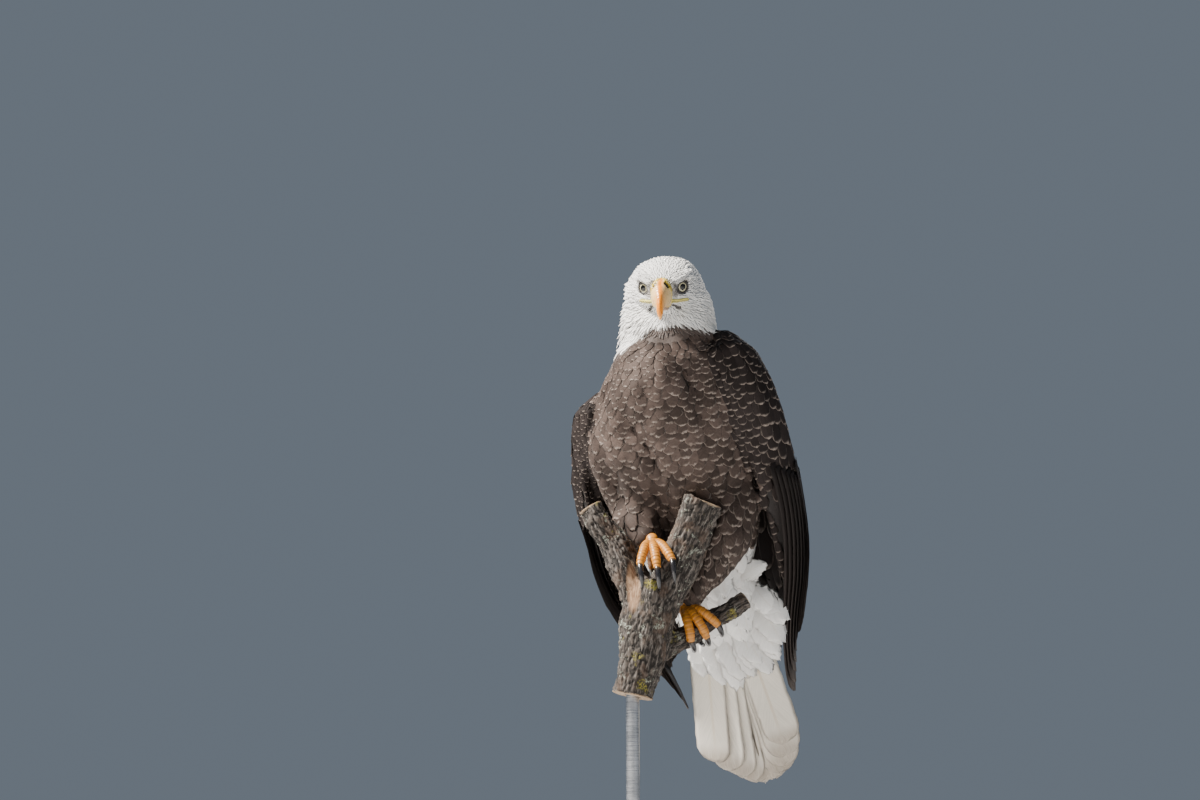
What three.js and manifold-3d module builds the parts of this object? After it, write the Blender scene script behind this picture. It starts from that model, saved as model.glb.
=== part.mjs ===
// A life-size bald eagle on a short cut fork of a dead tree, held up by a round base and one rod.
// Millimetres, +Z up, origin at the middle of the base's underside. A viewer stands on the -Y side.
import * as THREE from "three";
import { mergeVertices } from "three/addons/utils/BufferGeometryUtils.js";
import Module from "manifold-3d";

const wasm = await Module();
wasm.setup();

// ---------------------------------------------------------------- driving sizes
const GAP = 0.35; // clearance between pieces that meet
const BODY_CENTRE = [0, 4, 562]; // middle of the trunk above the base
const BODY_YAW = -22; // the breast turns towards -X
const BODY_ROLL = -5; // the shoulders lean towards -X
const EYES_MIDDLE = [-27, -104, 757]; // point between the eyeballs
const HEAD_YAW = -6.5; // the face looks at the viewer
const HEAD_PITCH = 27; // and downwards
const EYE_RADIUS = 11;
const EYE_CENTRE = [18.5, 1, 1]; // left eyeball, in the head's frame
const EYE_TURN = 35; // each eye looks this far out from straight ahead

const BASE_RADIUS = 180;
const BASE_HEIGHT = 18;
const ROD_RADIUS = 8;
const COLLAR_RADIUS = 19;
const COLLAR_HEIGHT = 12;

const material = (color, roughness, metalness = 0) =>
  new THREE.MeshStandardMaterial({ color, roughness, metalness });
const BROWN = material(0x3a2c24, 0.8);
const DARK = material(0x221a17, 0.75);
const WHITE = material(0xe9e5dc, 0.8);
const YELLOW = material(0xf0a024, 0.4);
const HORN = material(0x1c1a1c, 0.3);
const IRIS = material(0xd8d2a0, 0.1);
const BARK = material(0x5d544c, 0.9);
const STEEL = material(0x8d9094, 0.3, 1);
const WALNUT = material(0x2e2621, 0.4);

// ---------------------------------------------------------------- helpers
const rad = THREE.MathUtils.degToRad;
const vec = (p) => new THREE.Vector3(...p);

// A closed three.js geometry as a manifold solid, turned outwards if needed.
function solid(geometry) {
  const bare = geometry.clone();
  bare.deleteAttribute("normal");
  bare.deleteAttribute("uv");
  const merged = mergeVertices(bare, 1e-4);
  const build = (triVerts) =>
    new wasm.Manifold(
      new wasm.Mesh({ numProp: 3, vertProperties: merged.attributes.position.array, triVerts }),
    );
  const triVerts = new Uint32Array(merged.index.array);
  const made = build(triVerts);
  return made.volume() >= 0 ? made : build(triVerts.reverse());
}

// A skin over rings of points, with a fan over each end.
function skinOver(rings) {
  const n = rings[0].length;
  const middle = (ring) =>
    ring.reduce((sum, p) => sum.add(p), new THREE.Vector3()).divideScalar(ring.length);
  const points = [...rings.flat(), middle(rings[0]), middle(rings[rings.length - 1])];
  const first = points.length - 2;
  const top = (rings.length - 1) * n;
  const faces = [];
  for (let j = 0; j < n; j++) {
    const k = (j + 1) % n;
    for (let i = 0; i < top; i += n)
      faces.push(i + j, i + k, i + n + k, i + j, i + n + k, i + n + j);
    faces.push(first, k, j, first + 1, top + j, top + k);
  }
  const geometry = new THREE.BufferGeometry();
  const flat = points.flatMap((p) => [p.x, p.y, p.z]);
  geometry.setAttribute("position", new THREE.Float32BufferAttribute(flat, 3));
  geometry.setIndex(faces);
  return geometry;
}

// A smooth run through rows of named numbers, each row at its own place: returns t => the row there.
function smooth(rows) {
  const slope = (i, key) => {
    const a = rows[Math.max(i - 1, 0)];
    const b = rows[Math.min(i + 1, rows.length - 1)];
    return (b[key] - a[key]) / (b.at - a.at);
  };
  return (at) => {
    let i = 0;
    while (i < rows.length - 2 && at > rows[i + 1].at) i++;
    const [a, b] = [rows[i], rows[i + 1]];
    const span = b.at - a.at;
    const u = THREE.MathUtils.clamp((at - a.at) / span, 0, 1);
    const row = {};
    for (const key of Object.keys(a)) {
      const [m, n] = [slope(i, key) * span, slope(i + 1, key) * span];
      row[key] =
        (2 * u ** 3 - 3 * u ** 2 + 1) * a[key] +
        (u ** 3 - 2 * u ** 2 + u) * m +
        (3 * u ** 2 - 2 * u ** 3) * b[key] +
        (u ** 3 - u ** 2) * n;
    }
    return row;
  };
}

// A round-sectioned body over stations {at, x, y, z, wide, front, back}, its rings across the line of
// centres. `front` reaches towards -Y and `back` towards +Y. `grow` swells it all round.
function roundBody(rows, { rings = 6, sides = 13, grow = 0, square = 2.15 } = {}) {
  const along = smooth(rows);
  const [from, to] = [rows[0].at, rows[rows.length - 1].at];
  const centre = (at) => {
    const row = along(at);
    return new THREE.Vector3(row.x, row.y, row.z);
  };
  const made = [];
  for (let i = 0; i <= rings; i++) {
    const at = from + ((to - from) * i) / rings;
    const row = along(at);
    const step = (to - from) * 0.01;
    const behind = centre(Math.max(at - step, from));
    const tangent = centre(Math.min(at + step, to)).sub(behind).normalize();
    const across = new THREE.Vector3(1, 0, 0).addScaledVector(tangent, -tangent.x).normalize();
    const forward = new THREE.Vector3().crossVectors(across, tangent).normalize();
    if (forward.y > 0) forward.negate();
    const push = i === 0 ? -grow : i === rings ? grow : 0;
    const middle = centre(at).addScaledVector(tangent, push);
    const ring = [];
    for (let j = 0; j < sides; j++) {
      const angle = (2 * Math.PI * j) / sides;
      const [c, s] = [Math.cos(angle), Math.sin(angle)];
      const reach = (v) => Math.sign(v) * Math.abs(v) ** (2 / square);
      const depth = (s > 0 ? row.front : row.back) + grow;
      ring.push(
        middle
          .clone()
          .addScaledVector(across, (row.wide + grow) * reach(c))
          .addScaledVector(forward, depth * reach(s)),
      );
    }
    made.push(ring);
  }
  return solid(skinOver(made));
}

// A round tube through points, with a radius at each, rounded off towards its last point.
function taper(points, radii, { sides = 7, steps = 5, grow = 0 } = {}) {
  const curve = new THREE.CatmullRomCurve3(points.map(vec));
  const radius = smooth(radii.map((r, i) => ({ at: i / (radii.length - 1), r })));
  const frames = curve.computeFrenetFrames(steps, false);
  const rings = [];
  for (let i = 0; i <= steps; i++) {
    const r = radius(i / steps).r + grow;
    const push = i === 0 ? -grow : i === steps ? grow : 0;
    const middle = curve.getPoint(i / steps).addScaledVector(frames.tangents[i], push);
    rings.push(
      Array.from({ length: sides }, (_, j) => {
        const angle = (2 * Math.PI * j) / sides;
        return middle
          .clone()
          .addScaledVector(frames.normals[i], r * Math.cos(angle))
          .addScaledVector(frames.binormals[i], r * Math.sin(angle));
      }),
    );
  }
  return solid(skinOver(rings));
}

// A feather vane along a line of points. `normals` face away from the body, and `half` gives its
// half-width at t.
function vane(points, normals, half, { thick, grow = 0 }) {
  const rings = points.map((p, i) => {
    const ahead = points[Math.min(i + 1, points.length - 1)];
    const behind = points[Math.max(i - 1, 0)];
    const tangent = ahead.clone().sub(behind).normalize();
    const side = new THREE.Vector3().crossVectors(tangent, normals[i]).normalize();
    const up = new THREE.Vector3().crossVectors(side, tangent);
    const wide = half(i / (points.length - 1)) + grow;
    const face = thick / 2 + grow;
    const corners = [[-1, -face], [-1, face], [1, face], [1, -face]];
    return corners.map(([u, v]) => p.clone().addScaledVector(side, u * wide).addScaledVector(up, v));
  });
  return solid(skinOver(rings));
}

// The outline of a vane's end: full width up to `from`, then rounded off over `over`.
const roundTip = (t, from, over) => Math.sqrt(Math.max(0.03, 1 - Math.max(0, (t - from) / over) ** 2));

const join = (solids) => solids.reduce((all, one) => all.add(one));
const cut = (whole, ...cutters) => cutters.reduce((left, one) => left.subtract(one), whole);
const largest = (whole) => whole.decompose().sort((a, b) => b.volume() - a.volume())[0];
const moved = (whole, matrix) => whole.transform(matrix.elements);
const ball = (radius, centre, wide = 10, high = 8) =>
  solid(new THREE.SphereGeometry(radius, wide, high).translate(...centre));

// ---------------------------------------------------------------- frames
const BODY = new THREE.Matrix4()
  .makeTranslation(...BODY_CENTRE)
  .multiply(new THREE.Matrix4().makeRotationZ(rad(BODY_YAW)))
  .multiply(new THREE.Matrix4().makeRotationY(rad(BODY_ROLL)));
const HEAD = new THREE.Matrix4()
  .makeTranslation(...EYES_MIDDLE)
  .multiply(new THREE.Matrix4().makeRotationZ(rad(HEAD_YAW)))
  .multiply(new THREE.Matrix4().makeRotationX(rad(HEAD_PITCH)));
const bodyInverse = BODY.clone().invert();
const toBody = (p) => vec(p).applyMatrix4(bodyInverse).toArray();

// ---------------------------------------------------------------- trunk and neck (body frame, forward is -Y)
const TRUNK = [
  { at: 0, x: 0, y: 92, z: -182, wide: 20, front: 18, back: 14 },
  { at: 1, x: 0, y: 84, z: -168, wide: 38, front: 34, back: 26 },
  { at: 2, x: 0, y: 66, z: -136, wide: 60, front: 52, back: 42 },
  { at: 3.5, x: -4, y: 42, z: -86, wide: 88, front: 72, back: 58 },
  { at: 5, x: -7, y: 16, z: -28, wide: 106, front: 88, back: 70 },
  { at: 6.5, x: -9, y: -10, z: 32, wide: 113, front: 96, back: 76 },
  { at: 8, x: 4, y: -36, z: 86, wide: 93, front: 94, back: 70 },
  { at: 9.3, x: 14, y: -54, z: 126, wide: 70, front: 80, back: 60 },
  { at: 10.2, x: 19, y: -63, z: 149, wide: 48, front: 60, back: 44 },
  { at: 10.6, x: 20, y: -66, z: 157, wide: 30, front: 42, back: 28 },
];
const trunkSolid = (grow = 0) => roundBody(TRUNK, { rings: 10, sides: 18, grow });

const NECK = [
  { at: 0, x: 8, y: -34, z: 92, wide: 64, front: 50, back: 60 },
  { at: 1, x: 14, y: -48, z: 132, wide: 64, front: 56, back: 58 },
  { at: 2, x: 19, y: -58, z: 168, wide: 60, front: 49, back: 55 },
  { at: 3, x: 22, y: -62, z: 200, wide: 54, front: 33, back: 52 },
  { at: 4, x: 24, y: -62, z: 226, wide: 36, front: 12, back: 40 },
];
const neckSolid = (grow = 0) => roundBody(NECK, { grow });

// ---------------------------------------------------------------- head (head frame, the bill points to -Y)
// Each station is an oval: its widest line lies at height `mid`, with `top` above it and `under` below.
const HEAD_STATIONS = [
  { at: -27, wide: 12.5, mid: -1, top: 13, under: 14 },
  { at: -20, wide: 19, mid: -1, top: 19, under: 19 },
  { at: -8, wide: 26.5, mid: -2, top: 25.5, under: 24 },
  { at: 6, wide: 35, mid: -4, top: 32, under: 27 },
  { at: 24, wide: 44, mid: -9, top: 41, under: 30 },
  { at: 44, wide: 49.5, mid: -15, top: 49, under: 33 },
  { at: 62, wide: 50, mid: -20, top: 51, under: 34 },
  { at: 78, wide: 43, mid: -24, top: 43, under: 30 },
  { at: 91, wide: 28, mid: -27, top: 26, under: 18 },
];
function headLoft(grow = 0) {
  const along = smooth(HEAD_STATIONS);
  const [rings, sides] = [9, 16];
  const [from, to] = [HEAD_STATIONS[0].at, HEAD_STATIONS[HEAD_STATIONS.length - 1].at];
  const made = [];
  for (let i = 0; i <= rings; i++) {
    const row = along(from + ((to - from) * i) / rings);
    const y = i === 0 ? row.at - grow : i === rings ? row.at + grow : row.at;
    made.push(
      Array.from({ length: sides }, (_, j) => {
        const angle = (2 * Math.PI * j) / sides;
        const [c, s] = [Math.cos(angle), Math.sin(angle)];
        const height = row.mid + ((s > 0 ? row.top : row.under) + grow) * s;
        return new THREE.Vector3((row.wide + grow) * c, y, height);
      }),
    );
  }
  return solid(skinOver(made));
}

// A ridge of feathers over each eye, running down towards the bill.
function browRidge(side) {
  const line = [[11, -19, 13], [21, -10, 14], [31, 3, 16], [36, 18, 18]].map(([x, y, z]) => [side * x, y, z]);
  return taper(line, [3, 4.5, 5, 3], { sides: 5, steps: 3 });
}

const eyeCentre = (side) => [side * EYE_CENTRE[0], EYE_CENTRE[1], EYE_CENTRE[2]];
const eyeSolid = (side, grow = 0) => ball(EYE_RADIUS + grow, eyeCentre(side));
function eyeOpening(side) {
  const outward = new THREE.Vector3(side * Math.sin(rad(EYE_TURN)), -Math.cos(rad(EYE_TURN)), 0);
  const mouth = new THREE.SphereGeometry(1, 8, 6).scale(8.6, 12, 7.2).rotateZ(side * rad(EYE_TURN));
  const at = vec(eyeCentre(side)).addScaledVector(outward, 13);
  return solid(mouth.translate(at.x, at.y, at.z));
}

// ---------------------------------------------------------------- bill (head frame)
// Each station gives the ridge above, the cutting edge below, and the half-width.
const UPPER_BILL = [
  { at: 0, ridgeY: -17, ridgeZ: 14, edgeY: -10, edgeZ: -15, wide: 12.5 },
  { at: 1, ridgeY: -27, ridgeZ: 15.5, edgeY: -24, edgeZ: -15.5, wide: 12.2 },
  { at: 2, ridgeY: -40, ridgeZ: 15, edgeY: -36, edgeZ: -16, wide: 11.4 },
  { at: 3, ridgeY: -53, ridgeZ: 11, edgeY: -47, edgeZ: -16.5, wide: 10.2 },
  { at: 4, ridgeY: -65, ridgeZ: 3, edgeY: -56, edgeZ: -16, wide: 8.4 },
  { at: 5, ridgeY: -72.5, ridgeZ: -7, edgeY: -62, edgeZ: -17, wide: 6.2 },
  { at: 6, ridgeY: -75.5, ridgeZ: -17, edgeY: -67.5, edgeZ: -21.5, wide: 4 },
  { at: 7, ridgeY: -74.5, ridgeZ: -26.5, edgeY: -72.5, edgeZ: -27.5, wide: 1 },
];
const LOWER_BILL = [
  { at: 0, ridgeY: -10, ridgeZ: -16.5, edgeY: -10, edgeZ: -27, wide: 12 },
  { at: 1, ridgeY: -28, ridgeZ: -17, edgeY: -28, edgeZ: -27.5, wide: 10.5 },
  { at: 2, ridgeY: -42, ridgeZ: -18, edgeY: -42, edgeZ: -26.5, wide: 8 },
  { at: 3, ridgeY: -52, ridgeZ: -19, edgeY: -51, edgeZ: -24.5, wide: 5.5 },
  { at: 4, ridgeY: -57.5, ridgeZ: -20.5, edgeY: -57, edgeZ: -22.5, wide: 3 },
];
function billLoft(stations, grow, rings) {
  const sides = 10;
  const along = smooth(stations);
  const last = stations[stations.length - 1].at;
  const made = [];
  for (let i = 0; i <= rings; i++) {
    const row = along((last * i) / rings);
    const ridge = new THREE.Vector3(0, row.ridgeY, row.ridgeZ);
    const edge = new THREE.Vector3(0, row.edgeY, row.edgeZ);
    const middle = ridge.clone().add(edge).multiplyScalar(0.5);
    const up = ridge.clone().sub(middle);
    const tall = up.length();
    up.normalize();
    made.push(
      Array.from({ length: sides }, (_, j) => {
        const angle = (2 * Math.PI * j) / sides;
        const [c, s] = [Math.cos(angle), Math.sin(angle)];
        const fullness = s > 0 ? 1 - 0.28 * s : Math.abs(c) ** -0.5; // a narrow ridge over straight sides
        return middle
          .clone()
          .addScaledVector(up, (tall + grow) * s)
          .add(new THREE.Vector3((row.wide * fullness + grow) * c, 0, 0));
      }),
    );
  }
  return solid(skinOver(made));
}
// The fleshy corner of the mouth, which runs back under the eye.
const gape = (side, grow = 0) =>
  taper([[side * 10, -26, -12.5], [side * 15, -17, -12.5], [side * 22, -8, -13], [side * 28, 0, -14.5]],
    [2.6, 2.6, 2.3, 1.2], { sides: 5, steps: 4, grow });

const upperBill = (grow = 0) => join([billLoft(UPPER_BILL, grow, 8), gape(1, grow), gape(-1, grow)]);
const lowerBill = (grow = 0) => billLoft(LOWER_BILL, grow, 5);

// ---------------------------------------------------------------- folded wings (body frame)
// The wing is a shell round the trunk's side and back. At height `at` its middle surface is an oval about
// (0, y), `a` wide and `b` deep, from angle `from` (0 is straight ahead) round to angle `to`.
const WING = [
  { at: 142, y: -52, a: 88, b: 30, from: 66, to: 118, thick: 7 },
  { at: 132, y: -50, a: 97, b: 46, from: 50, to: 138, thick: 15 },
  { at: 112, y: -44, a: 106, b: 64, from: 46, to: 154, thick: 20 },
  { at: 76, y: -30, a: 115, b: 80, from: 48, to: 166, thick: 22 },
  { at: 28, y: -6, a: 119, b: 86, from: 48, to: 170, thick: 21 },
  { at: -30, y: 20, a: 117, b: 86, from: 51, to: 171, thick: 19 },
  { at: -90, y: 50, a: 109, b: 76, from: 56, to: 166, thick: 16 },
  { at: -140, y: 76, a: 98, b: 62, from: 61, to: 150, thick: 12 },
  { at: -180, y: 97, a: 89, b: 52, from: 68, to: 130, thick: 7 },
];
const WING_AXIS = [
  ...WING.slice(0, -1),
  { at: -180, y: 97, a: 89, b: 52, from: 68, to: 130, thick: 7 },
  { at: -240, y: 130, a: 76, b: 38, from: 60, to: 120, thick: 4 },
  { at: -300, y: 160, a: 66, b: 26, from: 60, to: 120, thick: 3 },
];
const WING_POSE = {
  left: { side: 1, drop: 0, shrug: 0, flare: 9, elbow: 0, back: 0 },
  right: { side: -1, drop: 26, shrug: 22, flare: 27, elbow: 9, back: 18 }, // its front lies behind the breast
};
const wingRow = smooth([...WING_AXIS].reverse());
const wingSpan = smooth([...WING].reverse());

// A point on the wing's middle surface, moved out from it by `out`.
function wingPoint(pose, height, degrees, out = 0) {
  const row = wingRow(height);
  const hang = Math.exp(-(((height + 110) / 110) ** 2)); // the wing stands off the body most here
  const sunk = pose.drop + pose.shrug * Math.exp(-(((height - WING[0].at) / 60) ** 2));
  const bend = Math.exp(-(((height - 2) / 36) ** 2));
  const a = row.a + pose.flare * hang + pose.elbow * bend;
  const [s, c] = [Math.sin(rad(degrees)), Math.cos(rad(degrees))];
  const normal = new THREE.Vector3((pose.side * s) / a, -c / row.b, 0.001).normalize();
  const place = new THREE.Vector3(pose.side * a * s, row.y - row.b * c, height - sunk);
  return place.addScaledVector(normal, out);
}
function wingNormal(pose, height, degrees) {
  return wingPoint(pose, height, degrees, 1).sub(wingPoint(pose, height, degrees, 0));
}

function wingShell(name, grow = 0) {
  const pose = WING_POSE[name];
  const [rings, steps] = [10, 6];
  const made = [];
  for (let i = 0; i <= rings; i++) {
    const height = THREE.MathUtils.lerp(142 + grow, -180 - grow, i / rings);
    const row = wingSpan(THREE.MathUtils.clamp(height, -180, 142));
    const face = (sign) =>
      Array.from({ length: steps + 1 }, (_, j) => {
        const u = j / steps;
        const bulge = Math.sqrt(Math.max(0, 1 - (2 * u - 1) ** 4));
        const edge = 1.2 + row.thick * bulge * (0.7 + 0.3 * (1 - u)) + grow;
        const margin = (grow * 57) / row.a;
        const degrees = THREE.MathUtils.lerp(row.from + pose.back - margin, row.to + margin, u);
        return wingPoint(pose, height, degrees, sign * edge);
      });
    made.push([...face(1), ...face(-1).reverse()]);
  }
  return solid(skinOver(made));
}

// One flight feather on the wing's surface, from (height, angle) to (height, angle).
function quill(pose, from, to, half, out, grow = 0) {
  const steps = 4;
  const at = (t) => [
    THREE.MathUtils.lerp(from[0], to[0], t),
    THREE.MathUtils.lerp(from[1], to[1], t ** 0.8),
  ];
  const places = Array.from({ length: steps + 1 }, (_, i) => at(i / steps));
  const lift = (i) => THREE.MathUtils.lerp(out[0], out[1], i / steps);
  const points = places.map(([h, a], i) => wingPoint(pose, h, a, lift(i)));
  const normals = places.map(([h, a]) => wingNormal(pose, h, a));
  const shape = (t) => half * Math.min(1, 0.72 + t) * roundTip(t, 0.72, 0.29);
  return vane(points, normals, shape, { thick: 2.2, grow });
}

// The primaries, whose tips step back from the point of the wing.
const PRIMARIES = 5;
function primaries(name, grow = 0) {
  const pose = WING_POSE[name];
  return join(
    Array.from({ length: PRIMARIES }, (_, i) => {
      const u = i / (PRIMARIES - 1);
      const tip = [-284 + 100 * u ** 1.2, 84 + 34 * u];
      const root = [-110, 74 + 34 * u];
      return quill(pose, root, tip, 14 + 4 * u, [-4 + 2 * u, -1.5 + 3 * u], grow);
    }),
  );
}
// The secondaries, which lie over the rump and the root of the tail.
const SECONDARIES = 5;
function secondaries(name, grow = 0) {
  const pose = WING_POSE[name];
  return join(
    Array.from({ length: SECONDARIES }, (_, i) => {
      const u = i / (SECONDARIES - 1);
      const tip = [-206 + 36 * u, 112 + 44 * u];
      const root = [-80, 104 + 58 * u];
      return quill(pose, root, tip, 18 + 3 * u, [0, 2.5 + 1.5 * u], grow);
    }),
  );
}

// ---------------------------------------------------------------- tail (body frame)
const TAIL_ROOT = [3, 72, -146];
const TAIL_SLOPE = 70; // degrees below the horizon
const TAIL_LENGTH = 266;
const TAIL_PAIRS = 6;
const TAIL_HALF_WIDTH = 21;
const tailDown = new THREE.Vector3(0, Math.cos(rad(TAIL_SLOPE)), -Math.sin(rad(TAIL_SLOPE)));
const tailBelly = new THREE.Vector3(0, -Math.sin(rad(TAIL_SLOPE)), -Math.cos(rad(TAIL_SLOPE)));

// Pair 0 is the middle pair, which lies on top. Outer feathers are shorter and lie below, towards -Y.
function tailFeather(side, pair, grow = 0) {
  const u = pair / (TAIL_PAIRS - 1);
  const long = TAIL_LENGTH - 34 * u ** 2.2 - (side > 0 ? 14 * u : 0);
  const steps = 4;
  const points = Array.from({ length: steps + 1 }, (_, i) => {
    const t = i / steps;
    const spread = side * (6 + 44 * u) * (0.3 + 0.7 * t) ** 0.9;
    const belly = -3 + 6 * u + 2 * u * t - 5 * t ** 2;
    return vec(TAIL_ROOT)
      .addScaledVector(tailDown, long * t)
      .addScaledVector(tailBelly, belly)
      .add(new THREE.Vector3(spread, 0, 0));
  });
  const tilt = tailBelly.clone().add(new THREE.Vector3(side * 0.18 * u, 0, 0)).normalize();
  const half = (t) => TAIL_HALF_WIDTH * Math.min(1, 0.45 + 0.9 * t) * roundTip(t, 0.86, 0.15);
  return vane(points, points.map(() => tilt), half, { thick: 2.4, grow });
}
function tailSolid(grow = 0) {
  const half = (side) => Array.from({ length: TAIL_PAIRS }, (_, pair) => tailFeather(side, pair, grow));
  return join([...half(1), ...half(-1)]);
}

// The soft coverts round the root of the tail.
const TAIL_COVERTS = [
  { at: 0, x: 0, y: 50, z: -112, wide: 48, front: 44, back: 30 },
  { at: 1, x: 2, y: 66, z: -142, wide: 58, front: 48, back: 30 },
  { at: 2, x: 4, y: 84, z: -176, wide: 60, front: 44, back: 26 },
  { at: 3, x: 5, y: 100, z: -210, wide: 54, front: 32, back: 20 },
  { at: 4, x: 4, y: 113, z: -240, wide: 42, front: 18, back: 13 },
  { at: 4.6, x: 3, y: 120, z: -258, wide: 28, front: 8, back: 8 },
];
const tailCoverts = (grow = 0) => roundBody(TAIL_COVERTS, { grow });

// ---------------------------------------------------------------- perch (a short cut fork, in the model's frame)
// Each limb: points on its middle line, and a radius at each.
const LIMBS = {
  trunk: { points: [[-66, -52, 262], [-58, -52, 300], [-50, -51, 340], [-43, -51, 376], [-38, -51, 398]],
    radii: [27, 28, 30, 34, 31] },
  left: { points: [[-46, -51, 352], [-60, -51, 390], [-80, -51, 430], [-104, -52, 470], [-117, -52, 492]],
    radii: [24, 23, 20, 18, 17.5] },
  right: { points: [[-40, -51, 352], [-24, -53, 388], [-5, -59, 432], [11, -66, 470], [21, -71, 496]],
    radii: [25, 25, 24, 24.5, 25] },
  side: { points: [[-48, -48, 312], [-20, -36, 328], [14, -28, 346], [48, -24, 366], [74, -22, 383]],
    radii: [17, 15.5, 14.5, 13.5, 12.5] },
};
function limb(name, grow = 0) {
  const { points, radii } = LIMBS[name];
  return taper(points, radii, { sides: 8, grow });
}
const perchSolid = (grow = 0) => join(Object.keys(LIMBS).map((name) => limb(name, grow)));

// ---------------------------------------------------------------- legs and feet (model's frame)
// Each foot grips a round perch: `centre` is the middle of the wood below it, `axis` runs along the wood,
// `forward` across it, and `grip` is the radius to the middle of a toe. `hip` and `knee` are in the body frame.
const FEET = {
  right: {
    centre: [-37, -51, 405], axis: [1, 0, 0.1], forward: [0.05, -1, 0], grip: 39,
    hip: [-48, -8, -48], knee: [-58, -38, -93],
  },
  left: {
    centre: [14, -28, 347], axis: [0.87, 0.1, 0.48], forward: [0.1, -1, 0.03], grip: 20.5,
    hip: [50, 4, -50], knee: [54, -15, -100],
  },
};
const TOE_RADIUS = 6.2;
// name, spread along the wood at its root and its end, and how far round the wood it reaches, in degrees.
const TOES = [
  { name: "inner", root: -5, end: -19, from: 8, to: 104 },
  { name: "middle", root: 0, end: 1, from: 8, to: 116 },
  { name: "outer", root: 5, end: 20, from: 8, to: 100 },
  { name: "hind", root: 0, end: -2, from: -8, to: -92 },
];
const CLAW_SWEEP = 62; // degrees of arc from a claw's root to its tip

function footFrame(foot) {
  const along = vec(foot.axis).normalize();
  const forward = vec(foot.forward).addScaledVector(along, -vec(foot.forward).dot(along)).normalize();
  const up = new THREE.Vector3().crossVectors(along, forward);
  if (up.z < 0) up.negate();
  return { along, forward, up, centre: vec(foot.centre) };
}
function aroundPerch(foot, degrees, along, out = 0) {
  const frame = footFrame(foot);
  const r = foot.grip + out;
  return frame.centre
    .clone()
    .addScaledVector(frame.forward, r * Math.sin(rad(degrees)))
    .addScaledVector(frame.up, r * Math.cos(rad(degrees)))
    .addScaledVector(frame.along, along);
}
// Toes reach a set length, so they wrap less far round a thicker perch.
const REACH_RADIUS = 27;
const wrap = (foot, degrees) => (degrees * REACH_RADIUS) / Math.max(foot.grip, REACH_RADIUS * 0.85);

function toe(foot, { root, end, from, to }, grow = 0) {
  const steps = 5;
  const points = Array.from({ length: steps + 1 }, (_, i) => {
    const t = i / steps;
    const degrees = wrap(foot, THREE.MathUtils.lerp(from, to, t));
    return aroundPerch(foot, degrees, THREE.MathUtils.lerp(root, end, t), 1.5 * (1 - t)).toArray();
  });
  const radii = points.map((_, i) => TOE_RADIUS * (1.1 - 0.34 * (i / steps)));
  return taper(points, radii, { sides: 6, grow });
}
function claw(foot, { end, from, to }, grow = 0) {
  const sign = Math.sign(to);
  const start = wrap(foot, to);
  const sweep = (CLAW_SWEEP * REACH_RADIUS) / Math.max(foot.grip, REACH_RADIUS);
  const steps = 6;
  const points = Array.from({ length: steps + 1 }, (_, i) => {
    const t = i / steps;
    const lift = 3.5 * Math.sin(Math.PI * t * 0.9) - 2.5 * t ** 2;
    return aroundPerch(foot, start + sign * (sweep * t + 2.5), end, lift + 0.8).toArray();
  });
  return taper(points, [4.6, 4.2, 3.4, 2.4, 0.7], { sides: 5, grow });
}
const ankle = (foot) => aroundPerch(foot, -6, 0, 9);
function shank(name, grow = 0) {
  const foot = FEET[name];
  const knee = vec(foot.knee).applyMatrix4(BODY);
  const low = aroundPerch(foot, 0, 0, 1);
  const high = ankle(foot);
  const line = [low, high, high.clone().lerp(knee, 0.75)].map((p) => p.toArray());
  return taper(line, [7.5, 8, 8.5], { steps: 3, grow });
}
function footSolid(name) {
  const foot = FEET[name];
  return join([...TOES.map((one) => toe(foot, one)), shank(name)]);
}
function thigh(name, grow = 0) {
  const foot = FEET[name];
  const end = toBody(ankle(foot).toArray());
  const rows = [foot.hip, foot.knee, end].map(vec);
  const mid = rows[1].clone().lerp(rows[2], 0.62);
  const line = [rows[0], rows[1], mid, rows[2]].map((p) => p.toArray());
  return taper(line, [43, 38, 23, 13], { sides: 10, steps: 5, grow });
}

// ---------------------------------------------------------------- stand
const ROD_FOOT = [-66, -52];
const ROD_TOP = 262 + 26; // it ends in the wood
// An upright three.js cylinder on the rod's line, from height `low` up.
function post(top, bottom, low, length, sides) {
  const upright = new THREE.CylinderGeometry(top, bottom, length, sides).rotateX(Math.PI / 2);
  return solid(upright.translate(ROD_FOOT[0], ROD_FOOT[1], low + length / 2));
}
function rodSolid(grow = 0) {
  const low = BASE_HEIGHT + GAP - grow;
  const rod = post(ROD_RADIUS + grow, ROD_RADIUS + grow, low, ROD_TOP - low + grow, 16);
  return grow ? rod : rod.add(post(COLLAR_RADIUS - 2, COLLAR_RADIUS, low, COLLAR_HEIGHT, 16));
}
function baseSolid() {
  const [r, h] = [BASE_RADIUS, BASE_HEIGHT];
  const outline = [[0, 0], [r - 2, 0], [r, 2], [r, h - 4], [r - 5, h], [0, h]];
  const turned = new THREE.LatheGeometry(outline.map(([x, y]) => new THREE.Vector2(x, y)), 28);
  return solid(turned.rotateX(Math.PI / 2));
}

// ---------------------------------------------------------------- parting: each piece is cut back from those before it
const inBody = (whole) => moved(whole, BODY);
const inHead = (whole) => moved(whole, HEAD);

const trunkCut = inBody(trunkSolid(GAP));
const headCut = inHead(headLoft(GAP));
const neckCut = inBody(neckSolid(GAP));
const wingCut = { left: inBody(wingShell("left", GAP)), right: inBody(wingShell("right", GAP)) };
const thighCut = { left: inBody(thigh("left", GAP)), right: inBody(thigh("right", GAP)) };
const covertsCut = inBody(tailCoverts(GAP));
const tailCut = inBody(tailSolid(GAP));
const perchCut = perchSolid(GAP);

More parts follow.
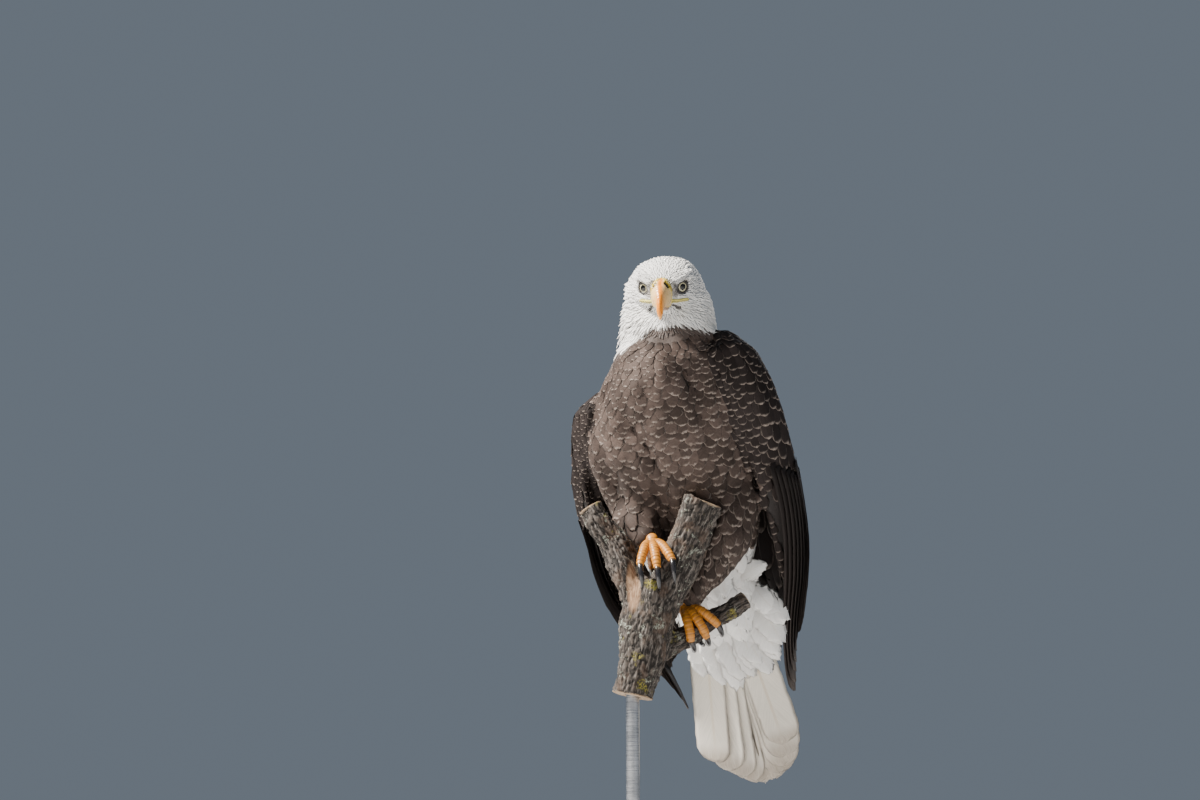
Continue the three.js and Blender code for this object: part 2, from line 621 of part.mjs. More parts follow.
const pieces = new THREE.Group();
function add(name, whole, look) {
  const mesh = largest(whole).getMesh();
  const geometry = new THREE.BufferGeometry();
  geometry.setAttribute("position", new THREE.BufferAttribute(new Float32Array(mesh.vertProperties), 3));
  geometry.setIndex(new THREE.BufferAttribute(mesh.triVerts, 1));
  geometry.computeVertexNormals();
  const piece = new THREE.Mesh(geometry, look);
  piece.name = name;
  pieces.add(piece);
}

add("trunk", cut(inBody(trunkSolid()), perchCut), BROWN);
const billCut = inHead(join([upperBill(GAP), lowerBill(GAP)]));
add("neck", cut(inBody(neckSolid()), trunkCut, headCut, billCut), WHITE);

const skull = join([headLoft(), browRidge(1), browRidge(-1)]);
const openings = [1, -1].flatMap((side) => [eyeSolid(side, GAP), eyeOpening(side)]);
add("head", cut(inHead(cut(skull, ...openings, upperBill(GAP), lowerBill(GAP))), trunkCut), WHITE);
add("bill_upper", inHead(upperBill()), YELLOW);
add("bill_lower", inHead(cut(lowerBill(), upperBill(GAP))), YELLOW);
for (const [name, side] of [["left", 1], ["right", -1]])
  add(`eye_${name}`, inHead(eyeSolid(side)), IRIS);

for (const name of ["left", "right"]) {
  const own = wingCut[name];
  add(`wing_${name}`, cut(inBody(wingShell(name)), trunkCut, neckCut, headCut), BROWN);
  const round = [trunkCut, own, covertsCut, thighCut[name]];
  add(`secondaries_${name}`, cut(inBody(secondaries(name)), ...round), DARK);
  const secondariesCut = inBody(secondaries(name, GAP));
  add(`primaries_${name}`, cut(inBody(primaries(name)), ...round, tailCut, secondariesCut), DARK);
}

const limbsCut = [thighCut.left, thighCut.right, wingCut.left, wingCut.right, perchCut];
add("tail_coverts", cut(inBody(tailCoverts()), trunkCut, ...limbsCut), WHITE);
add("tail", cut(inBody(tailSolid()), trunkCut, covertsCut, wingCut.left, wingCut.right,
  inBody(secondaries("left", GAP)), inBody(secondaries("right", GAP))), WHITE);

for (const name of ["left", "right"]) {
  const foot = FEET[name];
  add(`thigh_${name}`, cut(inBody(thigh(name)), trunkCut, wingCut.left, wingCut.right, perchCut,
    ...(name === "left" ? [thighCut.right] : [])), BROWN);
  const above = [thighCut.left, thighCut.right, trunkCut, covertsCut, perchCut];
  add(`foot_${name}`, cut(footSolid(name), ...above), YELLOW);
  for (const one of TOES)
    add(`claw_${name}_${one.name}`, cut(claw(foot, one), toe(foot, one, GAP), perchCut), HORN);
}

add("perch", cut(perchSolid(), rodSolid(GAP)), BARK);
add("stand_rod", rodSolid(), STEEL);
add("stand_base", baseSolid(), WALNUT);

export default pieces;
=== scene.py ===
"""A life-size bald eagle on a cut fork of dead wood, held up by a round base and one rod.

One skin replaces the solids of flesh. Solid feather vanes lie over it, row on row, from the bill to the tail.
Lengths are in metres, +Z is up, and a viewer stands on the -Y side.
"""
import math

import bpy
import numpy as np
from mathutils import Matrix, Vector, noise
from mathutils.bvhtree import BVHTree


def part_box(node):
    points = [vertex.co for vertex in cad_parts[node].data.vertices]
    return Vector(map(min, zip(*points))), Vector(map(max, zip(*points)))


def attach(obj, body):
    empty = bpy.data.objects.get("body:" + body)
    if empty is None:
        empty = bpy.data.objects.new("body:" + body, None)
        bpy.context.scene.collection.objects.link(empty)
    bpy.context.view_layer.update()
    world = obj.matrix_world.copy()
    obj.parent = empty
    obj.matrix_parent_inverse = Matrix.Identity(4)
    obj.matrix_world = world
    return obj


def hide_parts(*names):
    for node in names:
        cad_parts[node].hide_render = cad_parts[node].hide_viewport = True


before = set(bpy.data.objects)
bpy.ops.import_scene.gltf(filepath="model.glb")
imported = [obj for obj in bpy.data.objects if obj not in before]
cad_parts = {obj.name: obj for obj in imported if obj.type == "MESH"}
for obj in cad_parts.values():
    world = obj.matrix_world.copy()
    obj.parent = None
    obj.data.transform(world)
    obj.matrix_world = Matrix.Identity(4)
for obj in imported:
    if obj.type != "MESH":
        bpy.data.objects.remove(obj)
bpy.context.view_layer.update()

MM = 0.001
rng = np.random.default_rng(20)

# ------------------------------------------------------------------ frames
BODY_YAW, BODY_ROLL = -22, -5
BODY_CENTRE = (0, 0.004, 0.562)
HEAD_PITCH = 27
EYE_PLACE = (18.5, 1, 1)  # the bird's left eye in the head's frame, in millimetres


def centre_of(node):
    low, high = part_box(node)
    return (low + high) / 2


def turn(degrees, axis):
    return Matrix.Rotation(math.radians(degrees), 4, axis)


eye_line = centre_of("eye_left") - centre_of("eye_right")
HEAD_YAW = math.degrees(math.atan2(eye_line.y, eye_line.x))
EYES_MIDDLE = (centre_of("eye_left") + centre_of("eye_right")) / 2
BODY = Matrix.Translation(BODY_CENTRE) @ turn(BODY_YAW, "Z") @ turn(BODY_ROLL, "Y")
HEAD = Matrix.Translation(EYES_MIDDLE) @ turn(HEAD_YAW, "Z") @ turn(HEAD_PITCH, "X")
HEAD @= Matrix.Translation((0, -EYE_PLACE[1] * MM, -EYE_PLACE[2] * MM))


def moved(points, matrix):
    """Points, as rows, through a 4x4 matrix."""
    m = np.array(matrix)
    return np.asarray(points, float) @ m[:3, :3].T + m[:3, 3]


def turned(vectors, matrix):
    return np.asarray(vectors, float) @ np.array(matrix)[:3, :3].T


def in_body(points):
    """World points in the body's frame, in millimetres: -Y is ahead, +X the bird's left."""
    return moved(points, BODY.inverted()) / MM


def in_head(points):
    """World points in the head's frame, in millimetres: the bill points to -Y."""
    return moved(points, HEAD.inverted()) / MM


def from_body(points):
    return moved(np.asarray(points, float) * MM, BODY)


def from_head(points):
    return moved(np.asarray(points, float) * MM, HEAD)


# ------------------------------------------------------------------ numbers
def unit(vectors):
    return vectors / np.maximum(np.linalg.norm(vectors, axis=-1, keepdims=True), 1e-12)


def ease(value, low, high):
    """0 below low, 1 above high, smooth between. Low may be the greater of the two."""
    t = np.clip((np.asarray(value, float) - low) / (high - low), 0, 1)
    return t * t * (3 - 2 * t)


def flat_on(vectors, normals):
    """Vectors laid flat on the surface with these normals, one long."""
    return unit(vectors - normals * (vectors * normals).sum(-1, keepdims=True))


def smooth_rows(table):
    """A smooth run through rows whose first number says where each is: returns at -> the other numbers."""
    table = np.array(sorted(table), float)
    place, rows = table[:, 0], table[:, 1:]
    ends = np.minimum(np.arange(len(table)) + 1, len(table) - 1)
    starts = np.maximum(np.arange(len(table)) - 1, 0)
    slope = (rows[ends] - rows[starts]) / (place[ends] - place[starts])[:, None]

    def along(at):
        at = np.clip(np.asarray(at, float), place[0], place[-1])
        i = np.clip(np.searchsorted(place, at, side="right") - 1, 0, len(place) - 2)
        span = (place[i + 1] - place[i])[..., None]
        u = (at - place[i])[..., None] / span
        start = (2 * u**3 - 3 * u**2 + 1) * rows[i] + (u**3 - 2 * u**2 + u) * slope[i] * span
        return start + (3 * u**2 - 2 * u**3) * rows[i + 1] + (u**3 - u**2) * slope[i + 1] * span

    return along


def far_from_line(points, line):
    """How far points lie from a line of straight stretches, and how far along it, from 0 to 1."""
    best = np.full(len(points), 1e9)
    where = np.zeros(len(points))
    line = np.asarray(line, float)
    for k in range(len(line) - 1):
        a, step = line[k], line[k + 1] - line[k]
        t = np.clip(((points - a) @ step) / (step @ step), 0, 1)
        d = np.linalg.norm(points - a - t[:, None] * step, axis=1)
        near = d < best
        best[near] = d[near]
        where[near] = (k + t[near]) / (len(line) - 1)
    return best, where


def noise_at(points, scale, seed=0):
    """Smooth noise about -1 to 1 at world points: a few waves in set directions."""
    draw = np.random.default_rng(seed)
    total = np.zeros(len(points))
    for _ in range(6):
        way = draw.normal(size=3)
        way *= draw.uniform(0.7, 1.5) / (np.linalg.norm(way) * scale)
        total += np.sin(points @ way * 2 * math.pi + draw.uniform(0, 6.28))
    return total / 3


# ------------------------------------------------------------------ meshes
def mesh_piece(name, points, faces, smooth=True):
    """A mesh object from points and faces; faces is a list of arrays of equal-sided faces."""
    mesh = bpy.data.meshes.new(name)
    mesh.vertices.add(len(points))
    mesh.vertices.foreach_set("co", np.asarray(points, np.float32).ravel())
    groups = [np.asarray(f, np.int32) for f in faces if len(f)]
    corners = np.concatenate([g.ravel() for g in groups])
    totals = np.concatenate([np.full(len(g), g.shape[1], np.int32) for g in groups])
    mesh.loops.add(len(corners))
    mesh.loops.foreach_set("vertex_index", corners)
    mesh.polygons.add(len(totals))
    mesh.polygons.foreach_set("loop_start", np.concatenate([[0], np.cumsum(totals)[:-1]]).astype(np.int32))
    mesh.update(calc_edges=True)
    mesh.shade_smooth() if smooth else mesh.shade_flat()
    piece = bpy.data.objects.new(name, mesh)
    bpy.context.scene.collection.objects.link(piece)
    return piece


def paint(piece, name, values):
    """Stores a colour, four numbers, or a vector, three, on each vertex."""
    values = np.asarray(values, np.float32)
    kind, key = ("FLOAT_COLOR", "color") if values.shape[-1] == 4 else ("FLOAT_VECTOR", "vector")
    attribute = piece.data.attributes.new(name, kind, "POINT")
    attribute.data.foreach_set(key, values.ravel())


def finish(piece, look, slot, *replaced):
    """Says what a piece wears, rides on and stands for."""
    piece.data.materials.append(look)
    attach(piece, "root")
    if replaced:
        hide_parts(*replaced)
    return piece


def points_of(mesh):
    found = np.empty(len(mesh.vertices) * 3, np.float32)
    mesh.vertices.foreach_get("co", found)
    return found.reshape(-1, 3).astype(float)


def quads_of(mesh):
    """Faces of a mesh as rows of four; a triangle repeats its last corner."""
    rows = [tuple(p.vertices) for p in mesh.polygons]
    return np.array([r if len(r) == 4 else (*r, r[-1]) for r in rows], np.int64)


def triangles_of(nodes):
    """Points and triangles of CAD nodes together, and which node each triangle is from."""
    points, faces, owner, start = [], [], [], 0
    for number, node in enumerate(nodes):
        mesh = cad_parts[node].data
        tris = np.empty(len(mesh.polygons) * 3, np.int32)
        mesh.polygons.foreach_get("vertices", tris)
        points.append(points_of(mesh))
        faces.append(tris.reshape(-1, 3) + start)
        owner += [number] * len(mesh.polygons)
        start += len(points[-1])
    return np.concatenate(points), np.concatenate(faces), np.array(owner)


def remeshed(nodes, voxel):
    """Points and quads of one closed surface round these CAD nodes."""
    points, faces, _ = triangles_of(nodes)
    rough = mesh_piece("rough", points, [faces])
    weld = rough.modifiers.new("weld", "WELD")
    weld.merge_threshold = 1e-5
    remesh = rough.modifiers.new("remesh", "REMESH")
    remesh.mode, remesh.voxel_size = "VOXEL", voxel
    made = rough.evaluated_get(bpy.context.evaluated_depsgraph_get()).to_mesh()
    out = points_of(made), quads_of(made)
    bpy.data.objects.remove(rough)
    return out


def depth_in(points, nodes):
    """How deep points lie inside CAD nodes; outside them it is less than zero."""
    co, faces, _ = triangles_of(nodes)
    tree = BVHTree.FromPolygons(co.tolist(), faces.tolist())
    out = np.empty(len(points))
    for i, p in enumerate(points.tolist()):
        place, normal, _, far = tree.find_nearest(p)
        out[i] = -far if (Vector(p) - place).dot(normal) > 0 else far
    return out


class Surface:
    """A closed quad mesh with neighbours, normals and a search tree."""

    def __init__(self, points, quads):
        self.points, self.quads = points, quads
        a, b = quads, np.roll(quads, -1, axis=1)
        pairs = np.stack([a.ravel(), b.ravel()], 1)
        pairs = np.unique(np.sort(pairs[pairs[:, 0] != pairs[:, 1]], axis=1), axis=0)
        self.pairs = np.concatenate([pairs, pairs[:, ::-1]])
        self.valence = np.bincount(self.pairs[:, 0], minlength=len(points)).astype(float)

    def spread(self, values):
        """The mean of each vertex's neighbours."""
        wide = values.reshape(len(values), -1)
        out = [np.bincount(self.pairs[:, 0], wide[self.pairs[:, 1], k], len(wide)) for k in range(wide.shape[1])]
        return (np.stack(out, 1) / np.maximum(self.valence, 1)[:, None]).reshape(values.shape)

    def blur(self, values, rounds, share=0.5):
        for _ in range(rounds):
            values = values + share * (self.spread(values) - values)
        return values

    def refined(self, wanted):
        """A finer surface: the wanted quads are cut in four, and those beside them into fans."""
        p, q = self.points, self.quads
        ends = np.sort(np.stack([q, np.roll(q, -1, axis=1)], -1), axis=-1).reshape(-1, 2)
        edges, edge_of = np.unique(ends, axis=0, return_inverse=True)
        edge_of = edge_of.reshape(-1, 4)
        halved = np.zeros(len(edges), bool)
        halved[edge_of[wanted]] = True
        touched = halved[edge_of].any(1)
        middle = np.full(len(edges), -1)
        middle[halved] = len(p) + np.arange(halved.sum())
        centre = np.full(len(q), -1)
        centre[touched] = len(p) + halved.sum() + np.arange(touched.sum())
        points = np.concatenate([p, p[edges[halved]].mean(1), p[q[touched]].mean(1)])
        faces = [q[~touched]]
        for k in range(4):
            here, ahead, behind = q[:, k], middle[edge_of[:, k]], middle[edge_of[:, k - 1]]
            faces.append(np.stack([here, ahead, centre, behind], 1)[wanted])
            fan = touched & ~wanted
            cut, whole = fan & (ahead >= 0), fan & (ahead < 0)
            after = np.roll(q, -1, axis=1)[:, k]
            faces.append(np.stack([centre, here, ahead, ahead], 1)[cut])
            faces.append(np.stack([centre, ahead, after, after], 1)[cut])
            faces.append(np.stack([centre, here, after, after], 1)[whole])
        return Surface(points, np.concatenate(faces))

    def faces(self):
        """The quads and the triangles apart: a triangle is a quad that repeats its last corner."""
        folded = self.quads[:, 2] == self.quads[:, 3]
        return [self.quads[~folded], self.quads[folded, :3]]

    def find_normals(self):
        p, q = self.points, self.quads
        cross = np.cross(p[q[:, 2]] - p[q[:, 0]], p[q[:, 3]] - p[q[:, 1]])
        total = np.zeros_like(p)
        for k in range(4):
            for axis in range(3):
                total[:, axis] += np.bincount(q[:, k], cross[:, axis], len(p))
        self.normals = unit(total)
        return self.normals

    def smooth_out(self, rounds, share, keep_rounds):
        """Takes out facets and ripples, then swells the form back to the size it had."""
        before = self.points.copy()
        self.points = self.blur(self.points, rounds, share)
        normals = self.find_normals()
        lost = ((before - self.points) * normals).sum(1)
        self.points += normals * self.blur(lost, keep_rounds)[:, None]

    def index(self):
        self.tree = BVHTree.FromPolygons(self.points.tolist(), self.quads.tolist())
        self.find_normals()
        return self

    def nearest(self, points):
        """The nearest places on the surface, and the smooth normals there."""
        found = [self.tree.find_nearest(p) for p in points.tolist()]
        places = np.array([f[0] for f in found])
        faces = self.quads[[f[2] for f in found]]
        return places, unit(self.normals[faces].sum(1))

    def thickness(self, most):
        """How far it is through the solid at each vertex, up to most."""
        out = np.full(len(self.points), most)
        starts = (self.points - self.normals * 0.2 * MM).tolist()
        for i, (start, inward) in enumerate(zip(starts, (-self.normals).tolist())):
            hit = self.tree.ray_cast(start, inward, most)
            if hit[0] is not None:
                out[i] = hit[3]
        return out


# ------------------------------------------------------------------ node materials
class Look:
    """A node material, put together socket by socket."""

    def __init__(self, name, **values):
        self.made = bpy.data.materials.new(name)
        self.made.use_nodes = True
        self.tree = self.made.node_tree
        self.shader = self.tree.nodes["Principled BSDF"]
        for socket, value in values.items():
            self.put(self.shader.inputs[socket.replace("_", " ")], value)

    def put(self, socket, value):
        if isinstance(value, bpy.types.NodeSocket):
            self.tree.links.new(value, socket)
        else:
            socket.default_value = value

    def node(self, kind, values=None, **settings):
        node = self.tree.nodes.new("ShaderNode" + kind)
        for key, value in settings.items():
            setattr(node, key, value)
        for socket, value in (values or {}).items():
            self.put(node.inputs[socket], value)
        return node

    def math(self, operation, a, b=0.0):
        return self.node("Math", {0: a, 1: b}, operation=operation).outputs[0]

    def mix(self, share, a, b, blend="MIX"):
        a, b = (c if isinstance(c, bpy.types.NodeSocket) else (*c, 1) for c in (a, b))
        return self.node("Mix", {0: share, 6: a, 7: b}, data_type="RGBA", blend_type=blend).outputs[2]

    def ramp(self, value, low, high, bottom=0.0, top=1.0):
        values = {0: value, 1: low, 2: high, 3: bottom, 4: top}
        return self.node("MapRange", values, interpolation_type="SMOOTHSTEP").outputs[0]

    def place(self):
        return self.node("TexCoord").outputs["Object"]

    def stretched(self, x, y, z):
        return self.node("Mapping", {"Vector": self.place(), "Scale": (x, y, z)}).outputs[0]

    def noise(self, scale, detail=3.0, rough=0.55, vector=None, distortion=0.0):
        vector = vector or self.place()
        values = {"Vector": vector, "Scale": scale, "Detail": detail, "Roughness": rough, "Distortion": distortion}
        return self.node("TexNoise", values).outputs[0]

    def cells(self, scale, vector=None, feature="F1", output="Distance"):
        values = {"Vector": vector or self.place(), "Scale": scale}
        return self.node("TexVoronoi", values, feature=feature).outputs[output]

    def colour(self, socket):
        self.put(self.shader.inputs["Base Color"], socket)

    def rough(self, socket):
        self.put(self.shader.inputs["Roughness"], socket)

    def bump(self, height, strength, distance):
        node = self.node("Bump", {"Height": height, "Strength": strength, "Distance": distance})
        self.put(self.shader.inputs["Normal"], node.outputs[0])


WORN = (0.37, 0.31, 0.27)
# Brown rims of the tail feathers: partly stain, partly painted shade where they overlap.
TAIL_RIM_STAIN_AND_SHADE = (0.26, 0.19, 0.13)


def plumage_look(name, barbs, shaft=0.0, sheen=0.15, root=0.72, spread=0.24, relief=0.5, rim_colour=WORN,
                 shine=0.3):
    """Vane coloured by its stored tint: paler rim as the tint's alpha says, soft root, barbs and a shaft.

    barbs is how many clumps of barbs show along a vane, root how dark the covered end is, partly the feather's own
    darker base and partly painted shade under the row above, spread how much one feather's tone differs from the
    next, and relief how strongly the barbs stand out.
    """
    look = Look(name, Roughness=0.66, Sheen_Weight=sheen, Sheen_Roughness=0.5, Specular_IOR_Level=shine)
    vane = look.node("Attribute", attribute_name="vane")
    u, t, tone = look.node("SeparateXYZ", {0: vane.outputs["Vector"]}).outputs
    tint = look.node("Attribute", attribute_name="tint")
    across = look.math("ABSOLUTE", u)
    along_barb = look.math("SUBTRACT", t, look.math("MULTIPLY", across, 0.22))
    place = look.node("CombineXYZ", {0: look.math("MULTIPLY", along_barb, barbs), 1: look.math("MULTIPLY", u, 1.6),
                                     2: look.math("MULTIPLY", tone, 37.0)}).outputs[0]
    barb = look.noise(1.0, 4, 0.7, place)
    patchy = look.noise(260, 3)
    side_rim = look.math("MULTIPLY", look.ramp(across, 0.80, 0.98), look.ramp(t, 0.50, 0.85, 0.15, 1))
    rim = look.math("MAXIMUM", side_rim, look.ramp(t, 0.89, 0.98))
    rim = look.math("MULTIPLY", rim, look.ramp(barb, 0.3, 0.6, 0.35, 1))
    rim = look.math("MULTIPLY", rim, tint.outputs["Alpha"])
    # darker towards the root: partly the feather's own darker base, partly painted shade under the row above
    level = look.math("MULTIPLY", look.ramp(tone, 0, 1, 1 - spread, 1 + 0.8 * spread), look.ramp(t, 0, 0.6, root, 1))
    level = look.math("MULTIPLY", level, look.ramp(barb, 0.25, 0.75, 1 - 0.9 * spread, 1 + 0.7 * spread))
    grey = look.node("CombineColor", {0: level, 1: level, 2: level}).outputs[0]
    base = look.mix(1.0, tint.outputs["Color"], grey, "MULTIPLY")
    colour = look.mix(look.math("MULTIPLY", rim, 0.75), base, rim_colour)
    if shaft:
        line = look.math("MULTIPLY", look.ramp(across, 0.10, 0.04), look.ramp(t, 0.98, 0.8))
        colour = look.mix(look.math("MULTIPLY", line, abs(shaft)), colour, SHAFT_PALE if shaft > 0 else SHAFT_DARK)
    look.colour(colour)
    look.bump(look.math("ADD", barb, look.math("MULTIPLY", patchy, 0.5)), relief, 0.5 * MM)
    return look.made


SHAFT_PALE, SHAFT_DARK = (0.62, 0.52, 0.38), (0.02, 0.016, 0.014)


# ------------------------------------------------------------------ skin
FLESH = ["trunk", "neck", "head", "wing_left", "wing_right", "thigh_left", "thigh_right", "tail_coverts"]
SKIN_VOXEL = 2.65 * MM
COAT_DEPTH = {"head": 0.8, "neck": 1.6, "trunk": 4.5, "wing_left": 3, "wing_right": 3,
              "thigh_left": 4, "thigh_right": 4, "tail_coverts": 5}
# How long each part is smoothed: the head least, so that it keeps its shape.
SMOOTHING = {"head": 0.30, "wing_left": 0.24, "wing_right": 0.24}

EYE_RADIUS = 11.0
EYE_TURN = 35  # each eye looks this far out from straight ahead
BILL_ROOT = np.array([0, -14, -6])
# Folds between the masses of feathers on the breast, in the body's frame: x and z, in millimetres.
FOLDS = [
    [(-52, 118), (-60, 92), (-84, 66), (-92, 40)],
    [(-40, 44), (-26, 20), (-10, -14), (-4, -44)],
    [(-36, -30), (-22, -60), (-10, -96), (-6, -130)],
    [(30, 120), (50, 84), (60, 40), (52, -10)],
    [(-78, -4), (-76, -40), (-66, -76)],
]
FOLD_DEPTH, FOLD_WIDTH = 8.5, 12.0
# The ridge of the brow over each eye, in the head's frame: x, y, z and the ridge's radius.
BROW = [(9.5, -24, 8.5, 2.0), (14.5, -19.5, 9.4, 2.9), (20, -13.5, 11.0, 3.5), (26, -6.5, 12.0, 4.0), (31.5, 2, 12.0, 3.5),
        (35, 11, 11.0, 2.0), (36.5, 20, 9.5, 0.6)]
CROWN_PRESSED = 3.2
BROW_HEART = (13, 8, 12)  # the middle from which the brow is drawn out
# A line of painted shade under the brow, from the bill's upper corner to the eye; and the line of the mouth, pressed in
# and painted with shade.
BROW_SHADE_LINE = [(11, -20, 12.5), (14.5, -18.5, 8.5), (18.5, -14, 6.5)]
LIPS = [(11.5, -25, -13.6), (17.5, -13, -14.6), (24, -4.5, -15.2), (30, 1.5, -15.8)]
MOUTH = [(9, -20, -19), (13, -9, -22.0), (18, -1.5, -25.5), (22.5, -0.5, -29.5)]


def eye_axis(side):
    a = math.radians(EYE_TURN)
    return np.array([side * math.sin(a), -math.cos(a), 0])


def eye_middle(side):
    return np.array(EYE_PLACE) * (side, 1, 1)


def node_labels(points):
    """Which flesh node each point lies nearest to, as an index into FLESH."""
    co, faces, owner = triangles_of(FLESH)
    tree = BVHTree.FromPolygons(co.tolist(), faces.tolist())
    return owner[[tree.find_nearest(p)[2] for p in points.tolist()]]


def sculpt_breast(skin):
    """Presses the folds between feather masses into the front of the body."""
    b = in_body(skin.points)
    front = ease(b[:, 1], 10, -20) * (skin.label == FLESH.index("trunk"))
    front = np.maximum(front, ease(b[:, 1], 20, -10) * np.isin(skin.label, [FLESH.index(n) for n in SMOOTHED_LEGS]))
    push = np.zeros(len(b))
    for line in FOLDS:
        far, along = far_from_line(b[:, [0, 2]], line)
        push += FOLD_DEPTH * np.exp(-((far / FOLD_WIDTH) ** 2)) * np.sin(math.pi * np.clip(along * 0.9 + 0.05, 0, 1))
    push -= 1.8 * noise_at(skin.points, 0.07, 31) + 1.1 * noise_at(skin.points, 0.035, 32)
    skin.points -= skin.normals * (push * front * MM)[:, None]


SMOOTHED_LEGS = ("thigh_left", "thigh_right")


def mirrored(line, side):
    """A line drawn for the bird's left, on this side."""
    line = np.array(line, float)
    line[:, 0] *= side
    return line


def lift_over(points, heart, line, radii):
    """Lifts a surface, as seen from the heart, out over a bent rod."""
    steps = np.linspace(0, len(line) - 1, 90)
    whole = np.arange(len(line))
    core = np.stack([np.interp(steps, whole, line[:, k]) for k in range(3)], 1) - heart
    radius = np.interp(steps, whole, radii)
    away = points - heart
    far = np.linalg.norm(away, axis=1)
    way = away / far[:, None]
    ahead = way @ core.T
    room = radius**2 - ((core**2).sum(1) - ahead**2)
    reach = np.where(room > 0, ahead + np.sqrt(np.maximum(room, 0)), 0).max(1)
    return heart + way * np.maximum(far, reach)[:, None]


def sculpt_head(skin):
    """Raises the brows over sunken eyes, hollows the lores and tucks the skin under the eyeballs."""
    on_head = np.isin(skin.label, [FLESH.index("head"), FLESH.index("neck")])
    h = in_head(skin.points)
    push = -CROWN_PRESSED * ease(h[:, 2], 20, 38) - 1.5 * ease(h[:, 0], 28, 42)
    for side in (1, -1):
        lores = np.linalg.norm((h - (side * 15, -17, -3)) / (7, 9, 9), axis=1)
        push -= 1.8 * ease(lores, 1.3, 0.2)
        cheek = np.linalg.norm((h - (side * 29, 6, -14)) / (13, 16, 9), axis=1)
        push += 1.6 * ease(cheek, 1.2, 0.1)
        far, _ = far_from_line(h, mirrored(MOUTH, side))
        push -= 1.5 * ease(far, 4.0, 0.8)
    skin.points = skin.points + skin.normals * (push * on_head * MM)[:, None]
    h = in_head(skin.points)
    for side in (1, -1):
        ridge = np.array(BROW)
        heart = np.array(BROW_HEART) * (side, 1, 1)
        near_eye = on_head & (np.linalg.norm(h - eye_middle(side), axis=1) < 36)
        h[near_eye] = lift_over(h[near_eye], heart, mirrored(ridge[:, :3], side), ridge[:, 3])
        away = h - eye_middle(side)
        far = np.linalg.norm(away, axis=1)
        facing = (away @ eye_axis(side)) / np.maximum(far, 1e-6)
        inside = ease(facing, math.cos(math.radians(62)), math.cos(math.radians(44))) * on_head * (far < 13.5)
        goal = np.where(facing > math.cos(math.radians(48)), 9.6, 10.9)
        shorter = np.minimum(far, far * (1 - inside) + goal * inside)
        h = eye_middle(side) + away * (shorter / np.maximum(far, 1e-6))[:, None]
    in_bill = (ease(h[:, 1], -23, -29) * on_head)[:, None]
    bill_core = np.stack([0.68 * h[:, 0], -24 + 0.92 * (h[:, 1] + 24), -2 + 0.68 * (h[:, 2] + 2)], 1)
    h = h * (1 - in_bill) + bill_core * in_bill
    skin.points = np.where(on_head[:, None], from_head(h), skin.points)
    soft = skin.blur(skin.points, 2, 0.5)
    skin.points = np.where(on_head[:, None], soft, skin.points)


def make_skin():
    rough = Surface(*remeshed(FLESH + ["eye_left", "eye_right", "bill_upper", "bill_lower"], SKIN_VOXEL))
    face = np.linalg.norm(in_head(rough.points[rough.quads].mean(1)) - (0, -6, 0), axis=1) < 62
    skin = rough.refined(face)
    skin.label = node_labels(skin.points)
    share = np.array([SMOOTHING.get(n, 0.5) for n in FLESH])[skin.label]
    share = skin.blur(share, 10)[:, None]
    skin.smooth_out(110, share, 30)
    skin.index()
    depth = np.array([COAT_DEPTH[n] for n in FLESH])[skin.label] * MM
    depth = skin.blur(np.minimum(depth, 0.28 * skin.thickness(60 * MM)), 6)
    skin.points -= skin.normals * depth[:, None]
    skin.points = skin.blur(skin.points, 3, 0.4)
    skin.find_normals()
    sculpt_breast(skin)
    skin.find_normals()
    sculpt_head(skin)
    return skin.index()


skin = make_skin()
print("skin", len(skin.points), len(skin.quads))

# ------------------------------------------------------------------ the lie and the markings of the coat
BODY_LIE = turned([(0, 0.43, -0.9)], BODY)[0]
TAIL_LIE = turned([(0, 0.34, -0.94)], BODY)[0]
LEG_LIE = {"thigh_left": turned([(-0.12, -0.18, -1)], BODY)[0], "thigh_right": turned([(0.2, -0.2, -1)], BODY)[0]}


def bill_distance(points):
    return np.linalg.norm(in_head(points) - BILL_ROOT, axis=1)


def lie_at(points, label=None):
    """The way the feathers point: away from the bill over the head, then down the body, wing or leg."""
    head = in_head(points)
    away = turned(unit(head - BILL_ROOT), HEAD)
    share = ease(np.linalg.norm(head - BILL_ROOT, axis=1), 55, 125)[:, None]
    down = np.tile(BODY_LIE, (len(points), 1))
    if label is not None:
        for node, way in LEG_LIE.items():
            down[label == FLESH.index(node)] = way
        down[label == FLESH.index("tail_coverts")] = TAIL_LIE
    return unit(away * (1 - share) + down * share)


WHITE = np.array([0.83, 0.82, 0.80])
BROWN = np.array([0.073, 0.053, 0.045])
BLACKISH = np.array([0.023, 0.018, 0.017])
FACE_GREY = np.array([0.34, 0.30, 0.27])
FACE_DARK_AND_SHADE = np.array([0.035, 0.028, 0.024])


def white_share(points):
    """1 on the head, the neck and round the tail, 0 on the brown body."""
    b = in_body(points)
    ragged = 4 * noise_at(points, 0.03, 3)
    off = b[:, 0] - 18
    front = np.maximum(141 - np.where(off < 0, 0.0085, 0.002) * off**2, 121)
    behind = 128 - 0.10 * (b[:, 0] - 20)
    edge = front + (behind - front) * ease(b[:, 1], -70, -20) + ragged
    neck = ease(b[:, 2], edge - 2, edge + 2) * ease(np.abs(b[:, 0] - 18), 76, 70)
    down = -126 - 0.30 * (b[:, 1] - 60) + ragged
    rear = ease(b[:, 2], down + 2, down - 2) * ease(np.abs(b[:, 0]), 80, 74) * ease(b[:, 1], 0, 14)
    return np.maximum(neck, rear)


